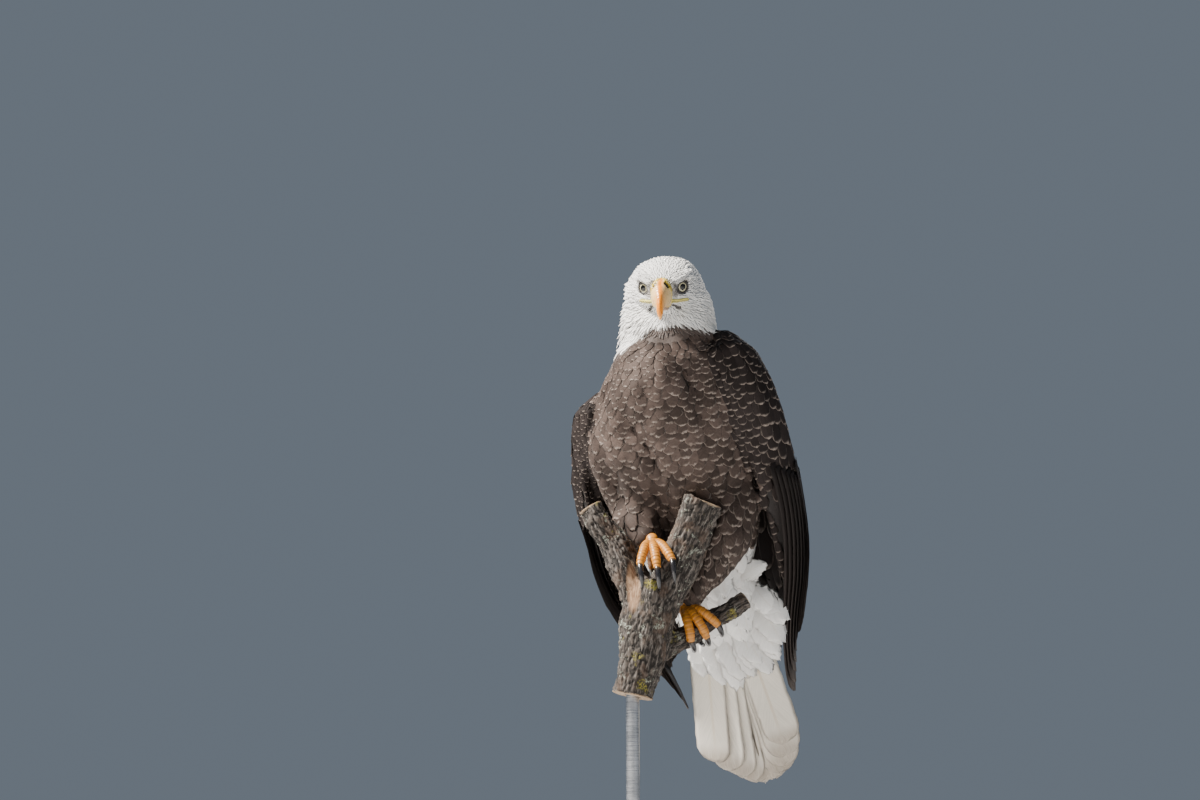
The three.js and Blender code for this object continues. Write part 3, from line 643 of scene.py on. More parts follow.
def eye_gap(h, side):
    """How far places in the head's frame lie from the middle of the lids, less tall below than above."""
    ring = h - eye_middle(side) - eye_axis(side) * 7
    ring[:, 2] *= np.where(ring[:, 2] < 0, 1.22, 0.96)
    return np.linalg.norm(ring, axis=1)


def on_skin(line):
    """A line in the head's frame laid on the skin."""
    fine = smooth_rows([(i / (len(line) - 1), *p) for i, p in enumerate(line)])(np.linspace(0, 1, 7))
    return in_head(skin.nearest(from_head(fine))[0])


BROW_SHADE_LINES = {side: on_skin(mirrored(BROW_SHADE_LINE, side)) for side in (1, -1)}
MOUTH_SHADE_LINES = {side: on_skin(mirrored(MOUTH, side)) for side in (1, -1)}


def face_marks(points):
    """Shares from 0 to 1 of the grey skin between bill and eye, and of the dark lid ring round the eye together with
    the painted shade under the brow, from the bill's corner to the eye and along the mouth.
    """
    h = in_head(points)
    grey, dark = np.zeros(len(h)), np.zeros(len(h))
    for side in (1, -1):
        far, _ = far_from_line(h, mirrored([(12, -22, -1), (16, -15, -4)], side))
        grey = np.maximum(grey, ease(far, 9.5, 4.5))
        # painted shade under the brow, from the bill's upper corner to the eye
        far, _ = far_from_line(h, BROW_SHADE_LINES[side])
        dark = np.maximum(dark, 0.8 * ease(far, 4.4, 1.4))
        # painted shade in the pressed-in line of the mouth, wider further back
        far, along = far_from_line(h, MOUTH_SHADE_LINES[side])
        dark = np.maximum(dark, 0.9 * ease(far, 2.6 + 1.2 * along, 1.0))
        gap = eye_gap(h, side)
        dark = np.maximum(dark, 0.94 * ease(gap, 14.0, 11.0))
        # painted shadow of the brow over the top of the eye
        above = ease(h[:, 2], 0, 8) * ease(h @ eye_axis(side), 30, 18)
        dark = np.maximum(dark, 0.5 * above * ease(gap, 19.0, 12.5))
    return grey, dark


def markings(points, wing=0.0):
    """The coat's colour at world points, with painted shade under the brows and along the mouth. wing is 1 on the
    darker wings.
    """
    wing = np.broadcast_to(np.asarray(wing, float), (len(points),))[:, None]
    white = white_share(points)[:, None] * (1 - wing)
    warm = 1 + 0.20 * noise_at(points, 0.09, 8)[:, None]
    b = in_body(points)
    low = ease(b[:, 2], 20, -140)[:, None]
    brown = (BROWN * (1 - 0.25 * low)) * (1 - wing) + BLACKISH * 1.1 * wing
    pale = WHITE * (1 + 0.03 * noise_at(points, 0.05, 9)[:, None])
    grey, dark = (share[:, None] for share in face_marks(points))
    colour = brown * warm * (1 - white) + pale * white
    colour = colour * (1 - 0.8 * grey) + FACE_GREY * 0.8 * grey
    # the dark lid rings, and painted shade under the brows and along the mouth
    return colour * (1 - dark) + FACE_DARK_AND_SHADE * dark


def unwrap(points):
    """Where places lie on an unwrap of the skin: round the body's long axis, and down it."""
    b = in_body(points)
    axis = np.interp(b[:, 2], [-260, -180, 60, 150, 250], [128, 92, -22, -60, -64])
    round_it = np.arctan2(b[:, 0] - 6, -(b[:, 1] - axis)) / (2 * math.pi)
    return np.stack([0.5 + 0.96 * round_it, 0.03 + 0.94 * (b[:, 2] + 300) / 580], 1)


def skin_look():
    """The down and skin under the feathers: the coat's markings with the painted face shade, darker and soft."""
    look = Look("skin", Roughness=0.8)
    tint = look.node("Attribute", attribute_name="tint").outputs["Color"]
    fluff = look.noise(420, 4)
    grey = look.ramp(fluff, 0.25, 0.75, 0.6, 1.0)
    shade = look.node("CombineColor", {0: grey, 1: grey, 2: grey}).outputs[0]
    look.colour(look.mix(1.0, tint, shade, "MULTIPLY"))
    look.bump(fluff, 0.6, 0.8 * MM)
    return look.made


skin_piece = mesh_piece("skin", skin.points, skin.faces())
wing_skin = skin.blur(np.isin(skin.label, [FLESH.index("wing_left"), FLESH.index("wing_right")]).astype(float), 4)
paint(skin_piece, "tint", np.concatenate([markings(skin.points, wing_skin), np.ones((len(skin.points), 1))], 1))
finish(skin_piece, skin_look(), "brown_plumage", *FLESH)


# ------------------------------------------------------------------ feather vanes
PATCH = 0.003  # a feather's size on the bake map


class Shape:
    """A vane's outline: rows along it, columns across it, and its half-width at each row, from 0 to 1."""

    def __init__(self, rows, columns, taper_from, root=0.45, tip=0.12, point=2.0, fray=0.05, frill=0.03):
        fine = np.linspace(0, 1, rows)
        self.along = 1 - (1 - fine) ** 1.35
        self.across = np.linspace(-1, 1, columns)
        swell = root + (1 - root) * ease(self.along, 0, 0.5)
        end = np.clip((self.along - taper_from) / (1 - taper_from), 0, 1)
        self.half = swell * np.maximum((1 - end**point) ** (1 / point), tip)
        self.fray, self.frill = fray, frill


CONTOUR = Shape(12, 7, 0.64, root=0.6, tip=0.3, point=2.2, fray=0.06, frill=0.03)
SMALL = Shape(6, 3, 0.3, root=0.6, tip=0.1, point=1.6, fray=0.08)
HACKLE = Shape(8, 5, 0.2, root=0.55, tip=0.07, point=1.4, fray=0.09)
COVERT = Shape(12, 7, 0.74, root=0.6, tip=0.2, point=2.2, fray=0.025, frill=0.012)
DOWNY = Shape(16, 11, 0.55, root=0.6, tip=0.35, point=2.2, fray=0.08, frill=0.04)
QUILL = Shape(30, 9, 0.87, root=0.6, tip=0.12, fray=0.018, frill=0.006)


def vane_faces(count, rows, columns):
    """Quads and triangles of closed vanes: a grid of top points and one line of points below."""
    grid = np.arange(rows * columns).reshape(rows, columns)
    keel = rows * columns + np.arange(rows)
    quads = [np.stack([grid[:-1, :-1], grid[:-1, 1:], grid[1:, 1:], grid[1:, :-1]], -1).reshape(-1, 4)]
    quads.append(np.stack([grid[:-1, 0], grid[1:, 0], keel[1:], keel[:-1]], 1))
    quads.append(np.stack([keel[:-1], keel[1:], grid[1:, -1], grid[:-1, -1]], 1))
    caps = []
    for row in (0, -1):
        for k in range(columns - 1):
            corner = [grid[row, k], grid[row, k + 1], keel[row]]
            caps.append(corner[::-1] if row == 0 else corner)
    start = (np.arange(count) * rows * (columns + 1))[:, None, None]
    return [(np.concatenate(part)[None] + start).reshape(-1, part[0].shape[-1]) for part in (quads, [np.array(caps)])]


def vanes(name, line, normals, half, shape, colour, lift, edge=0.5, camber=0.16, thick=0.4, skew=0.0, drape=0.0):
    """One mesh of closed thin vanes.

    line and normals are (feathers, stations, 3). half is each feather's half-width, lift its height over the
    line at each row, edge how pale its rim is, and drape how closely its sides follow the skin.
    """
    count, stations = line.shape[:2]
    rows, columns = len(shape.along), len(shape.across)
    place = shape.along * (stations - 1)
    low = np.minimum(place.astype(int), stations - 2)
    part = (place - low)[None, :, None]
    spine = line[:, low] * (1 - part) + line[:, low + 1] * part
    up = unit(normals[:, low] * (1 - part) + normals[:, low + 1] * part)
    spine[:, 1:-1] = 0.5 * spine[:, 1:-1] + 0.25 * (spine[:, :-2] + spine[:, 2:])
    tangent = unit(np.gradient(spine, axis=1))
    side = unit(np.cross(tangent, up))
    up = unit(np.cross(side, tangent))
    ragged = 1 + shape.fray * rng.normal(size=(count, rows, 2))
    wide = half[:, None, None] * shape.half[None, :, None]
    u = shape.across[None, None, :]
    reach = np.where(u < 0, ragged[..., :1], ragged[..., 1:]) * u * wide
    reach = reach * (1 + np.sign(u) * np.broadcast_to(skew, (count,))[:, None, None])
    drop = camber * half[:, None, None] * (u**2) * (0.4 + 0.6 * shape.along[None, :, None])
    long = np.linalg.norm(np.diff(line, axis=1), axis=2).sum(1)[:, None, None]
    notch = rng.normal(size=(count, 1, columns)) * shape.frill * long * shape.along[None, :, None] ** 5
    rise = lift[:, :, None] - drop + 0.25 * thick * MM * (np.abs(u) < 0.01)
    top = spine[:, :, None] + side[:, :, None] * reach[..., None] + up[:, :, None] * rise[..., None]
    top += tangent[:, :, None] * notch[..., None]
    if drape:
        flat = top.reshape(-1, 3)
        place, normal = skin.nearest(flat)
        high = ((flat - place) * normal).sum(1)
        wanted = (rise + 0.6 * drop).ravel()
        top = (flat + normal * (drape * (wanted - high))[:, None]).reshape(top.shape)
    under = spine + up * (lift - thick * MM)[..., None]
    block = np.concatenate([top.reshape(count, -1, 3), under], axis=1)
    piece = mesh_piece(name, block.reshape(-1, 3), vane_faces(count, rows, columns))

    t = np.concatenate([np.repeat(shape.along, columns), shape.along])
    across = np.concatenate([np.tile(shape.across, rows), np.zeros(rows)])
    vane = np.empty((count, len(t), 3))
    vane[..., 0], vane[..., 1], vane[..., 2] = across, t, rng.uniform(size=(count, 1))
    paint(piece, "vane", vane.reshape(-1, 3))
    tint = np.empty((count, len(t), 4))
    tint[..., :3] = colour[:, None]
    tint[..., 3] = np.broadcast_to(edge, (count,))[:, None]
    paint(piece, "tint", tint.reshape(-1, 4))
    spot = np.stack([across * 0.5, t - 0.5], 1)[None] * PATCH + unwrap(line[:, 0])[:, None]
    corners = np.empty(len(piece.data.loops), np.int32)
    piece.data.loops.foreach_get("vertex_index", corners)
    layer = piece.data.uv_layers.new(name="OFBake")
    layer.uv.foreach_set("vector", spot.reshape(-1, 2)[corners].astype(np.float32).ravel())
    triangles = sum(len(p.vertices) - 2 for p in piece.data.polygons)
    print(f"{name}: {count} feathers, {triangles} triangles")
    return piece


def laid_lines(roots, length, stations, label, stray):
    """Lines over the skin from these roots, following the lie, with the skin's normals along them."""
    place, normal = skin.nearest(roots)
    line, normals = [place], [normal]
    wobble = np.radians(rng.normal(scale=stray, size=len(roots)))[:, None]
    for _ in range(stations - 1):
        way = flat_on(lie_at(place, label), normal)
        way = way * np.cos(wobble) + np.cross(normal, way) * np.sin(wobble)
        place, normal = skin.nearest(place + way * (length / (stations - 1))[:, None])
        line.append(place)
        normals.append(normal)
    return np.stack(line, 1), np.stack(normals, 1)


def scatter(wanted, long_step, wide_step, crowd=12):
    """Root places on the wanted faces of the skin, long_step apart along the lie and wide_step across it.

    Places are taken in order from the bill on, so they fall into staggered rows.
    """
    quads = skin.quads[wanted]
    p = skin.points
    areas = 0.5 * np.linalg.norm(np.cross(p[quads[:, 2]] - p[quads[:, 0]], p[quads[:, 3]] - p[quads[:, 1]]), axis=1)
    middle = p[quads].mean(1)
    need = areas / (long_step(middle) * wide_step(middle))
    tries = int(need.sum() * crowd)
    pick = rng.choice(len(quads), tries, p=need / need.sum())
    a, b = rng.uniform(size=(2, tries, 1))
    corner = p[quads[pick]]
    places = (corner[:, 0] * (1 - a) + corner[:, 1] * a) * (1 - b) + (corner[:, 3] * (1 - a) + corner[:, 2] * a) * b
    normals = unit(skin.normals[quads[pick]].sum(1))
    labels = skin.label[quads[pick][:, 0]]
    way = flat_on(lie_at(places, labels), normals)
    long, wide = long_step(places), wide_step(places)
    order = np.argsort(bill_distance(places) + rng.normal(scale=0.5, size=tries))
    cell = float(max(long.max(), wide.max()))
    spots = places.tolist()
    ways = (way / long[:, None]).tolist()
    sides = (np.cross(way, normals) / wide[:, None]).tolist()
    cells = np.floor(places / cell).astype(int).tolist()
    around = [(x, y, z) for x in (-1, 0, 1) for y in (-1, 0, 1) for z in (-1, 0, 1)]
    taken, kept = {}, []
    for i in order.tolist():
        x, y, z = spots[i]
        cx, cy, cz = cells[i]
        wx, wy, wz = ways[i]
        sx, sy, sz = sides[i]
        for dx, dy, dz in around:
            for qx, qy, qz in taken.get((cx + dx, cy + dy, cz + dz), ()):
                ex, ey, ez = qx - x, qy - y, qz - z
                if (ex * wx + ey * wy + ez * wz) ** 2 + (ex * sx + ey * sy + ez * sz) ** 2 < 1:
                    break
            else:
                continue
            break
        else:
            taken.setdefault((cx, cy, cz), []).append((x, y, z))
            kept.append(i)
    return places[kept], labels[kept]


def size_at(measure, places, sizes):
    """A size in metres that changes with a measure of the place: measure(points) -> numbers."""
    return lambda points: np.interp(measure(points), places, sizes) * MM


def even(size):
    return lambda points: np.full(len(points), size * MM)


def plumage(name, wanted, steps, length, half, shape, slope, look, slot, wing=0.0, edge=0.5, stray=5.0,
            curl=0.0, base=0.3, loose=0.12, **options):
    """A piece of coat over the wanted part of the skin. steps, length and half are functions of places.

    slope is how steeply the feathers stand off the skin, a number or a function of places, and loose how much
    that differs from one to the next.
    """
    roots, labels = scatter(wanted, *steps)
    long = length(roots) * rng.uniform(0.93, 1.07, len(roots))
    line, normals = laid_lines(roots, long, 5, labels, stray)
    colour = markings(line[:, -1], wing)
    white = white_share(line[:, -1])
    tilt = rng.uniform(1 - loose, 1 + loose, (len(roots), 1)) * (slope(roots)[:, None] if callable(slope) else slope)
    t = shape.along[None]
    lift = base * MM + long[:, None] * (tilt * t + curl * t**2)
    pale = edge * (1 - white) * rng.uniform(0.5, 1.2, len(roots))
    piece = vanes(name, line, normals, half(roots), shape, colour, lift, edge=pale, **options)
    return finish(piece, look, slot)


quad_middle = skin.points[skin.quads].mean(1)
quad_label = skin.label[skin.quads[:, 0]]
quad_body = in_body(quad_middle)
quad_head = in_head(quad_middle)
quad_white = white_share(quad_middle) > 0.5
quad_free = depth_in(quad_middle, ["bill_upper", "bill_lower"]) < -0.5 * MM
for side in (1, -1):
    quad_free &= eye_gap(quad_head, side) > 11.6


def part(*names):
    return np.isin(quad_label, [FLESH.index(n) for n in names])


contour = plumage_look("contour_feather", 16, root=0.45, spread=0.34, relief=0.25, sheen=0.02, shine=0.09)
small = plumage_look("head_feather", 9, root=0.9, spread=0.07)
downy = plumage_look("downy_feather", 22, shaft=0.15, root=0.85, spread=0.08)
covert = plumage_look("covert_feather", 22, shaft=-0.4, root=0.7, relief=0.25, sheen=0.0, shine=0.06)
quill = plumage_look("flight_feather", 70, shaft=-0.5, sheen=0.01, shine=0.14)
# the tail's dark root and brown rims: partly stain, partly painted shade where the feathers overlap
rectrix = plumage_look("tail_feather", 70, shaft=0.5, root=0.5, spread=0.12, rim_colour=TAIL_RIM_STAIN_AND_SHADE)

on_head = part("head", "neck", "trunk") & quad_free & quad_white & (quad_body[:, 2] > 60)
from_bill = np.linalg.norm(quad_head - BILL_ROOT, axis=1)
face_sizes = [14, 30, 50, 70, 100, 140, 190]
head_steps = (size_at(bill_distance, face_sizes, [1.7, 2.1, 2.7, 3.5, 5, 7, 8]),
              size_at(bill_distance, face_sizes, [1.4, 1.7, 2.2, 2.8, 4, 5, 6]))
head_long = size_at(bill_distance, face_sizes, [4.2, 7, 11, 15, 24, 32, 38])
head_half = size_at(bill_distance, face_sizes, [1.0, 1.4, 2.0, 2.6, 3.8, 4.6, 6])
def ruffle(points):
    """How steeply the head's feathers stand: most on the right cheek and side of the neck."""
    h = in_head(points)
    height = in_body(points)[:, 2]
    cheek = ease(h[:, 0], -20, -34) * ease(h[:, 2], 12, -4) * ease(height, 142, 160)
    return 0.03 + 0.05 * ease(height, 128, 165) + 0.20 * cheek


plumage("coat_face", on_head & (from_bill < 66), head_steps, head_long, head_half, SMALL, ruffle, small,
        "white_plumage", stray=9, loose=0.7, camber=0.25, thick=0.22)
plumage("coat_nape", on_head & (from_bill >= 66), head_steps, head_long, head_half, HACKLE, ruffle, small,
        "white_plumage", stray=8, loose=0.6, camber=0.25, thick=0.3)

on_trunk = part("trunk", "neck") & ~quad_white & (bill_distance(quad_middle) > 60)
body_rows = [-180, -120, -40, 60, 115, 145]
height = lambda points: in_body(points)[:, 2]
body_steps = (size_at(height, body_rows, [12, 11, 9.6, 7.6, 5.4, 4.2]), size_at(height, body_rows, [14, 14, 13, 11, 7.2, 5]))
body_long = size_at(height, body_rows, [40, 37, 32, 26, 17.5, 12.5])
body_half = size_at(height, body_rows, [12.5, 12, 11, 9.4, 6.2, 4.3])
for name, side_of in (("coat_breast", quad_body[:, 1] < -20), ("coat_back", quad_body[:, 1] >= -20)):
    plumage(name, on_trunk & side_of, body_steps, body_long, body_half, CONTOUR, 0.065, contour, "brown_plumage",
            edge=0.85, stray=9, camber=0.12, drape=0.85)
plumage("coat_thighs", part("thigh_left", "thigh_right"), (even(11.5), even(10.5)), even(36), even(8.6), CONTOUR, 0.075,
        contour, "brown_plumage", edge=0.75, stray=8, camber=0.12, drape=0.85)

# ------------------------------------------------------------------ wings and tail (body frame)
# The wing's middle surface is an oval about (0, y) at each height, a wide and b deep; thick is how far the
# shell stands out from it, and the shell runs round from one angle to another, where 0 is straight ahead.
WING = smooth_rows([
    (142, -52, 88, 30, 66, 118, 7),
    (132, -50, 97, 46, 50, 138, 15),
    (112, -44, 106, 64, 46, 154, 20),
    (76, -30, 115, 80, 48, 166, 22),
    (28, -6, 119, 86, 48, 170, 21),
    (-30, 20, 117, 86, 51, 171, 19),
    (-90, 50, 109, 76, 56, 166, 16),
    (-140, 76, 98, 62, 61, 150, 12),
    (-180, 97, 89, 52, 68, 130, 7),
    (-240, 130, 76, 38, 60, 120, 4),
    (-300, 160, 66, 26, 60, 120, 3),
])
# side, drop, shrug, flare, elbow, and how far back the front edge lies, in degrees
WING_POSE = {"left": (1, 0, 0, 9, 0, 0), "right": (-1, 26, 22, 27, 9, 18)}


def wing_point(name, height, degrees, out=0.0):
    """Points on a wing's middle surface, moved out from it, in the body's frame."""
    side, drop, shrug, flare, elbow, _ = WING_POSE[name]
    height, degrees = np.broadcast_arrays(np.asarray(height, float), np.asarray(degrees, float))
    y, a, b = np.moveaxis(WING(height)[..., :3], -1, 0)
    a = a + flare * np.exp(-(((height + 110) / 110) ** 2)) + elbow * np.exp(-(((height - 2) / 36) ** 2))
    sunk = drop + shrug * np.exp(-(((height - 142) / 60) ** 2))
    s, c = np.sin(np.radians(degrees)), np.cos(np.radians(degrees))
    normal = unit(np.stack([side * s / a, -c / b, np.full_like(s, 0.001)], -1))
    place = np.stack([side * a * s, y - b * c, height - sunk], -1)
    return place + normal * np.asarray(out)[..., None], normal


def shell_out(name, height, degrees):
    """How far the wing's outer face stands out from its middle surface."""
    row = WING(height)
    front = row[..., 3] + WING_POSE[name][5]
    u = np.clip((degrees - front) / (row[..., 4] - front), 0, 1)
    bulge = np.sqrt(np.maximum(0, 1 - (2 * u - 1) ** 4))
    return (1.2 + row[..., 5] * bulge * (0.7 + 0.3 * (1 - u))) * ease(height, -240, -150)


def quill_line(name, root, tip, out, stations=14):
    """Places and normals of wing feathers from root to tip, each (height, degrees), over the wing's face."""
    t = np.linspace(0, 1, stations)[None]
    root, tip = np.asarray(root, float), np.asarray(tip, float)
    height = root[:, :1] + (tip[:, :1] - root[:, :1]) * t
    degrees = root[:, 1:] + (tip[:, 1:] - root[:, 1:]) * t**0.8
    lift = shell_out(name, height, degrees) + out[:, :1] + (out[:, 1:] - out[:, :1]) * t
    place, normal = wing_point(name, height, degrees, lift)
    return from_body(place), turned(normal, BODY)


def wing_feathers(kind, name, root, tip, half, out, shape, look, curl=0.02, edge=0.2, **options):
    root, tip, out = (np.asarray(v, float) for v in (root, tip, out))
    line, normals = quill_line(name, root, tip, out)
    count = len(root)
    long = np.linalg.norm(np.diff(line, axis=1), axis=2).sum(1)
    lift = curl * long[:, None] * shape.along[None] ** 2
    colour = BLACKISH * 1.0 * rng.uniform(0.8, 1.25, (count, 1))
    sizes = np.full(count, half) if np.ndim(half) == 0 else np.asarray(half)
    piece = vanes(f"{kind}_{name}_vanes", line, normals, sizes * MM, shape, colour, lift, edge=edge, **options)
    return finish(piece, look, "flight_feathers", f"{kind}_{name}")


def from_front(name):
    """A measure: how far places lie behind the front edge of a wing, in millimetres round its oval."""
    side, drop, shrug, _, _, back = WING_POSE[name]

    def measure(points):
        b = in_body(points)
        row = WING(b[:, 2] + drop)
        degrees = np.degrees(np.arctan2(side * b[:, 0] / row[:, 1], -(b[:, 1] - row[:, 0]) / row[:, 2]))
        return np.radians(degrees - row[:, 3] - back) * 0.5 * (row[:, 1] + row[:, 2])

    return measure


def least(*sizes):
    return lambda points: np.min([size(points) for size in sizes], axis=0)


quad_height = quad_body[:, 2]
WING_TIP = {"left": -284, "right": -264}
WING_TUCK = {"left": 0, "right": 5}  # how far the long feathers lie in under the coverts
wing_rows = [-180, -60, -10, 20, 60, 100, 145]
front_rows = [0, 18, 40, 70, 120]
# Near the front edge the coverts are smaller, most of all on the right wing: steps along and across, length, half-width.
FRONT_SIZES = {
    "left": ([6.5, 9, 13, 18, 30], [6, 8, 11, 14, 19], [19, 27, 40, 54, 84], [5, 6.6, 9, 11, 14.5]),
    "right": ([5, 6, 10, 16, 30], [5, 6, 9, 13, 19], [15, 18, 30, 46, 84], [3.6, 4.4, 7, 10, 14.5]),
}
for name in ("left", "right"):
    side, drop = WING_POSE[name][:2]
    wing_height = lambda points, drop=drop: in_body(points)[:, 2] + drop
    front_long, front_wide, front_length, front_half = (size_at(from_front(name), front_rows, s) for s in FRONT_SIZES[name])
    plumage(
        f"coat_wing_{name}", part(f"wing_{name}") & (quad_height + drop > -145),
        (least(size_at(wing_height, wing_rows, [30, 30, 26, 16, 11, 8.5, 6]), front_long),
         least(size_at(wing_height, wing_rows, [19, 19, 17, 13.5, 10, 8, 6]), front_wide)),
        least(size_at(wing_height, wing_rows, [84, 80, 68, 46, 32, 24, 17]), front_length),
        least(size_at(wing_height, wing_rows, [14.5, 14.5, 13.5, 11.5, 9, 7, 5]), front_half),
        COVERT, 0.055, covert, "brown_plumage", wing=1.0, edge=0.8, stray=3, base=1.2, drape=0.85,
    )

    count = 9
    u = np.linspace(0, 1, count)
    root = np.stack([-20 - 60 * u, 92 + 68 * u], 1)
    tip = np.stack([-214 + 40 * u, 108 + 46 * u], 1)
    out = np.stack([0.5 + 3.5 * u, 2.5 + 4.5 * u], 1)
    out -= WING_TUCK[name]
    wing_feathers("secondaries", name, root, tip, 19, out, QUILL, quill, skew=0.25 * side, thick=0.7)

    count = 8
    u = np.linspace(0, 1, count)
    root = np.stack([-30 - 10 * u, 66 + 30 * u], 1)
    tip = np.stack([WING_TIP[name] + 88 * u**1.1, 82 + 28 * u], 1)
    out = np.stack([-2 + 2.5 * u, -2.5 + 4.0 * u], 1) - WING_TUCK[name]
    half = 13 + 4 * u
    wing_feathers("primaries", name, root, tip, half, out, QUILL, quill, skew=0.3 * side, thick=0.7)

TAIL_ROOT = np.array([3, 72, -146])
TAIL_SLOPE = math.radians(70)
TAIL_LENGTH, TAIL_PAIRS, TAIL_HALF_WIDTH = 266, 6, 24
# How far out each feather's tip lies, from the middle pair to the outer one: the right side is fanned further.
TAIL_FAN = {1: (10, 22, 32, 39, 44, 47), -1: (-6, -2, 5, 15, 29, 47)}
TAIL_DOWN = np.array([0, math.cos(TAIL_SLOPE), -math.sin(TAIL_SLOPE)])
TAIL_BELLY = np.array([0, -math.sin(TAIL_SLOPE), -math.cos(TAIL_SLOPE)])
RECTRIX = Shape(34, 11, 0.89, root=0.5, tip=0.16, point=2.3, fray=0.014, frill=0.005)


def tail_lines(stations=16):
    """The twelve tail feathers, the middle pair on top and the outer ones below it and shorter."""
    lines, normals = [], []
    t = np.linspace(0, 1, stations)[:, None]
    for pair in range(TAIL_PAIRS):
        for side in (1, -1):
            u = pair / (TAIL_PAIRS - 1)
            long = TAIL_LENGTH - 34 * u**2.2 - (14 * u if side > 0 else 0)
            spread = side * TAIL_FAN[side][pair] * (0.3 + 0.7 * t) ** 0.9
            belly = -3 + 6 * u + 2 * u * t - 5 * t**2
            lines.append(TAIL_ROOT + TAIL_DOWN * long * t + TAIL_BELLY * belly + spread * np.array([1, 0, 0]))
            tilt = unit(TAIL_BELLY + np.array([side * 0.18 * u, 0, 0]))
            normals.append(np.tile(tilt, (stations, 1)))
    return from_body(np.array(lines)), turned(np.array(normals), BODY)


CREAM = np.array([0.78, 0.73, 0.64])
line, normals = tail_lines()
count = len(line)
colour = CREAM * rng.uniform(0.9, 1.08, (count, 1))
lift = np.zeros((count, len(RECTRIX.along)))
half = np.full(count, TAIL_HALF_WIDTH * MM)
sides = np.tile([1, -1], TAIL_PAIRS)
tail = vanes("tail_vanes", line, normals, half, RECTRIX, colour, lift, edge=0.8, camber=0.03, thick=0.8, skew=-0.12 * sides)
finish(tail, rectrix, "white_plumage", "tail")

# ------------------------------------------------------------------ soft coverts round the tail
vent = (part("tail_coverts") | (part("trunk") & quad_white & ~on_head & (quad_body[:, 2] < 0)))
tail_height = [-260, -220, -170, -120]
plumage(
    "coat_undertail", vent,
    (size_at(height, tail_height, [19, 17, 14, 11]), size_at(height, tail_height, [19, 18, 15, 11])),
    size_at(height, tail_height, [74, 68, 54, 38]),
    size_at(height, tail_height, [21, 20, 16, 12]),
    DOWNY, 0.12, downy, "white_plumage", stray=11, loose=0.6, curl=0.03, camber=0.3, thick=0.4,
)

# Big loose feathers over the end of the undertail and at its left side, in the body's frame: root, tip, half-width.
PUFFS = [
    ((-24, 75, -196), (-30, 106, -258), 17),
    ((-7, 71, -199), (-9, 110, -271), 18),
    ((12, 70, -199), (14, 112, -277), 18),
    ((28, 72, -197), (34, 111, -272), 17),
    ((55, 61, -160), (92, 76, -206), 17),
    ((55, 69, -174), (83, 91, -229), 18),
    ((47, 75, -190), (75, 105, -249), 17),
    ((48, 46, -151), (80, 47, -137), 11),
    ((50, 57, -167), (84, 76, -187), 15),
    ((33, 81, -210), (50, 109, -263), 16),
    ((45, 40, -141), (62, 50, -124), 8),
]


def make_puffs():
    t = np.linspace(0, 1, 5)[:, None]
    lines, half = [], []
    for root, tip, wide in PUFFS:
        root, tip = np.array(root, float), np.array(tip, float)
        for layer in range(3):
            a = root + rng.normal(scale=2.0, size=3)
            b = tip + rng.normal(scale=3.0, size=3) - (tip - root) * 0.12 * layer
            lines.append(a + (b - a) * t + np.array([0, -7.0 - 1.5 * layer, 0]) * np.sin(math.pi * t * 0.8))
            half.append(wide * rng.uniform(0.85, 1.05))
    lines = np.array(lines)
    out = unit(np.array([0.45, -1, 0.1]))
    normals = np.tile(out, (len(lines), 5, 1))
    colour = WHITE * rng.uniform(0.93, 1.0, (len(lines), 1))
    lift = np.zeros((len(lines), len(DOWNY.along)))
    piece = vanes("coat_puffs", from_body(lines), turned(normals, BODY), np.array(half) * MM, DOWNY, colour, lift,
                  edge=0.0, camber=0.25, thick=0.4)
    return finish(piece, downy, "white_plumage")


make_puffs()


# ------------------------------------------------------------------ lofted pieces
def loft(name, rings, colour, smooth=True):
    """A closed mesh over rings of points, fanned shut at both ends, coloured at each ring point."""
    count, sides = rings.shape[:2]
    grid = np.arange(count * sides).reshape(count, sides)
    beside = np.roll(grid, -1, axis=1)
    quads = np.stack([grid[:-1], beside[:-1], beside[1:], grid[1:]], -1).reshape(-1, 4)
    first, last = count * sides, count * sides + 1
    caps = [np.stack([np.full(sides, first), beside[0], grid[0]], 1)]
    caps.append(np.stack([np.full(sides, last), grid[-1], beside[-1]], 1))
    points = np.concatenate([rings.reshape(-1, 3), rings[0].mean(0)[None], rings[-1].mean(0)[None]])
    a, b, c, d = (points[quads[:, k]] - points.mean(0) for k in range(4))
    volume = (np.cross(a, b) * c).sum() + (np.cross(a, c) * d).sum()
    faces = [quads, np.concatenate(caps)]
    if volume < 0:
        faces = [f[:, ::-1] for f in faces]
    piece = mesh_piece(name, points, faces, smooth)
    shade = np.concatenate([colour.reshape(-1, 3), colour[0].mean(0)[None], colour[-1].mean(0)[None]])
    paint(piece, "tint", np.concatenate([shade, np.ones((len(shade), 1))], 1))
    return piece


def blend(share, a, b):
    """Colours from a to b, by a share at each point."""
    share = np.asarray(share)[..., None]
    return np.asarray(a) * (1 - share) + np.asarray(b) * share


def sweep(points, stations):
    """A smooth line through points, with its directions, at even steps."""
    points = np.asarray(points, float)
    rows = smooth_rows([(i / (len(points) - 1), *p) for i, p in enumerate(points)])
    line = rows(np.linspace(0, 1, stations))
    return line, unit(np.gradient(line, axis=0))


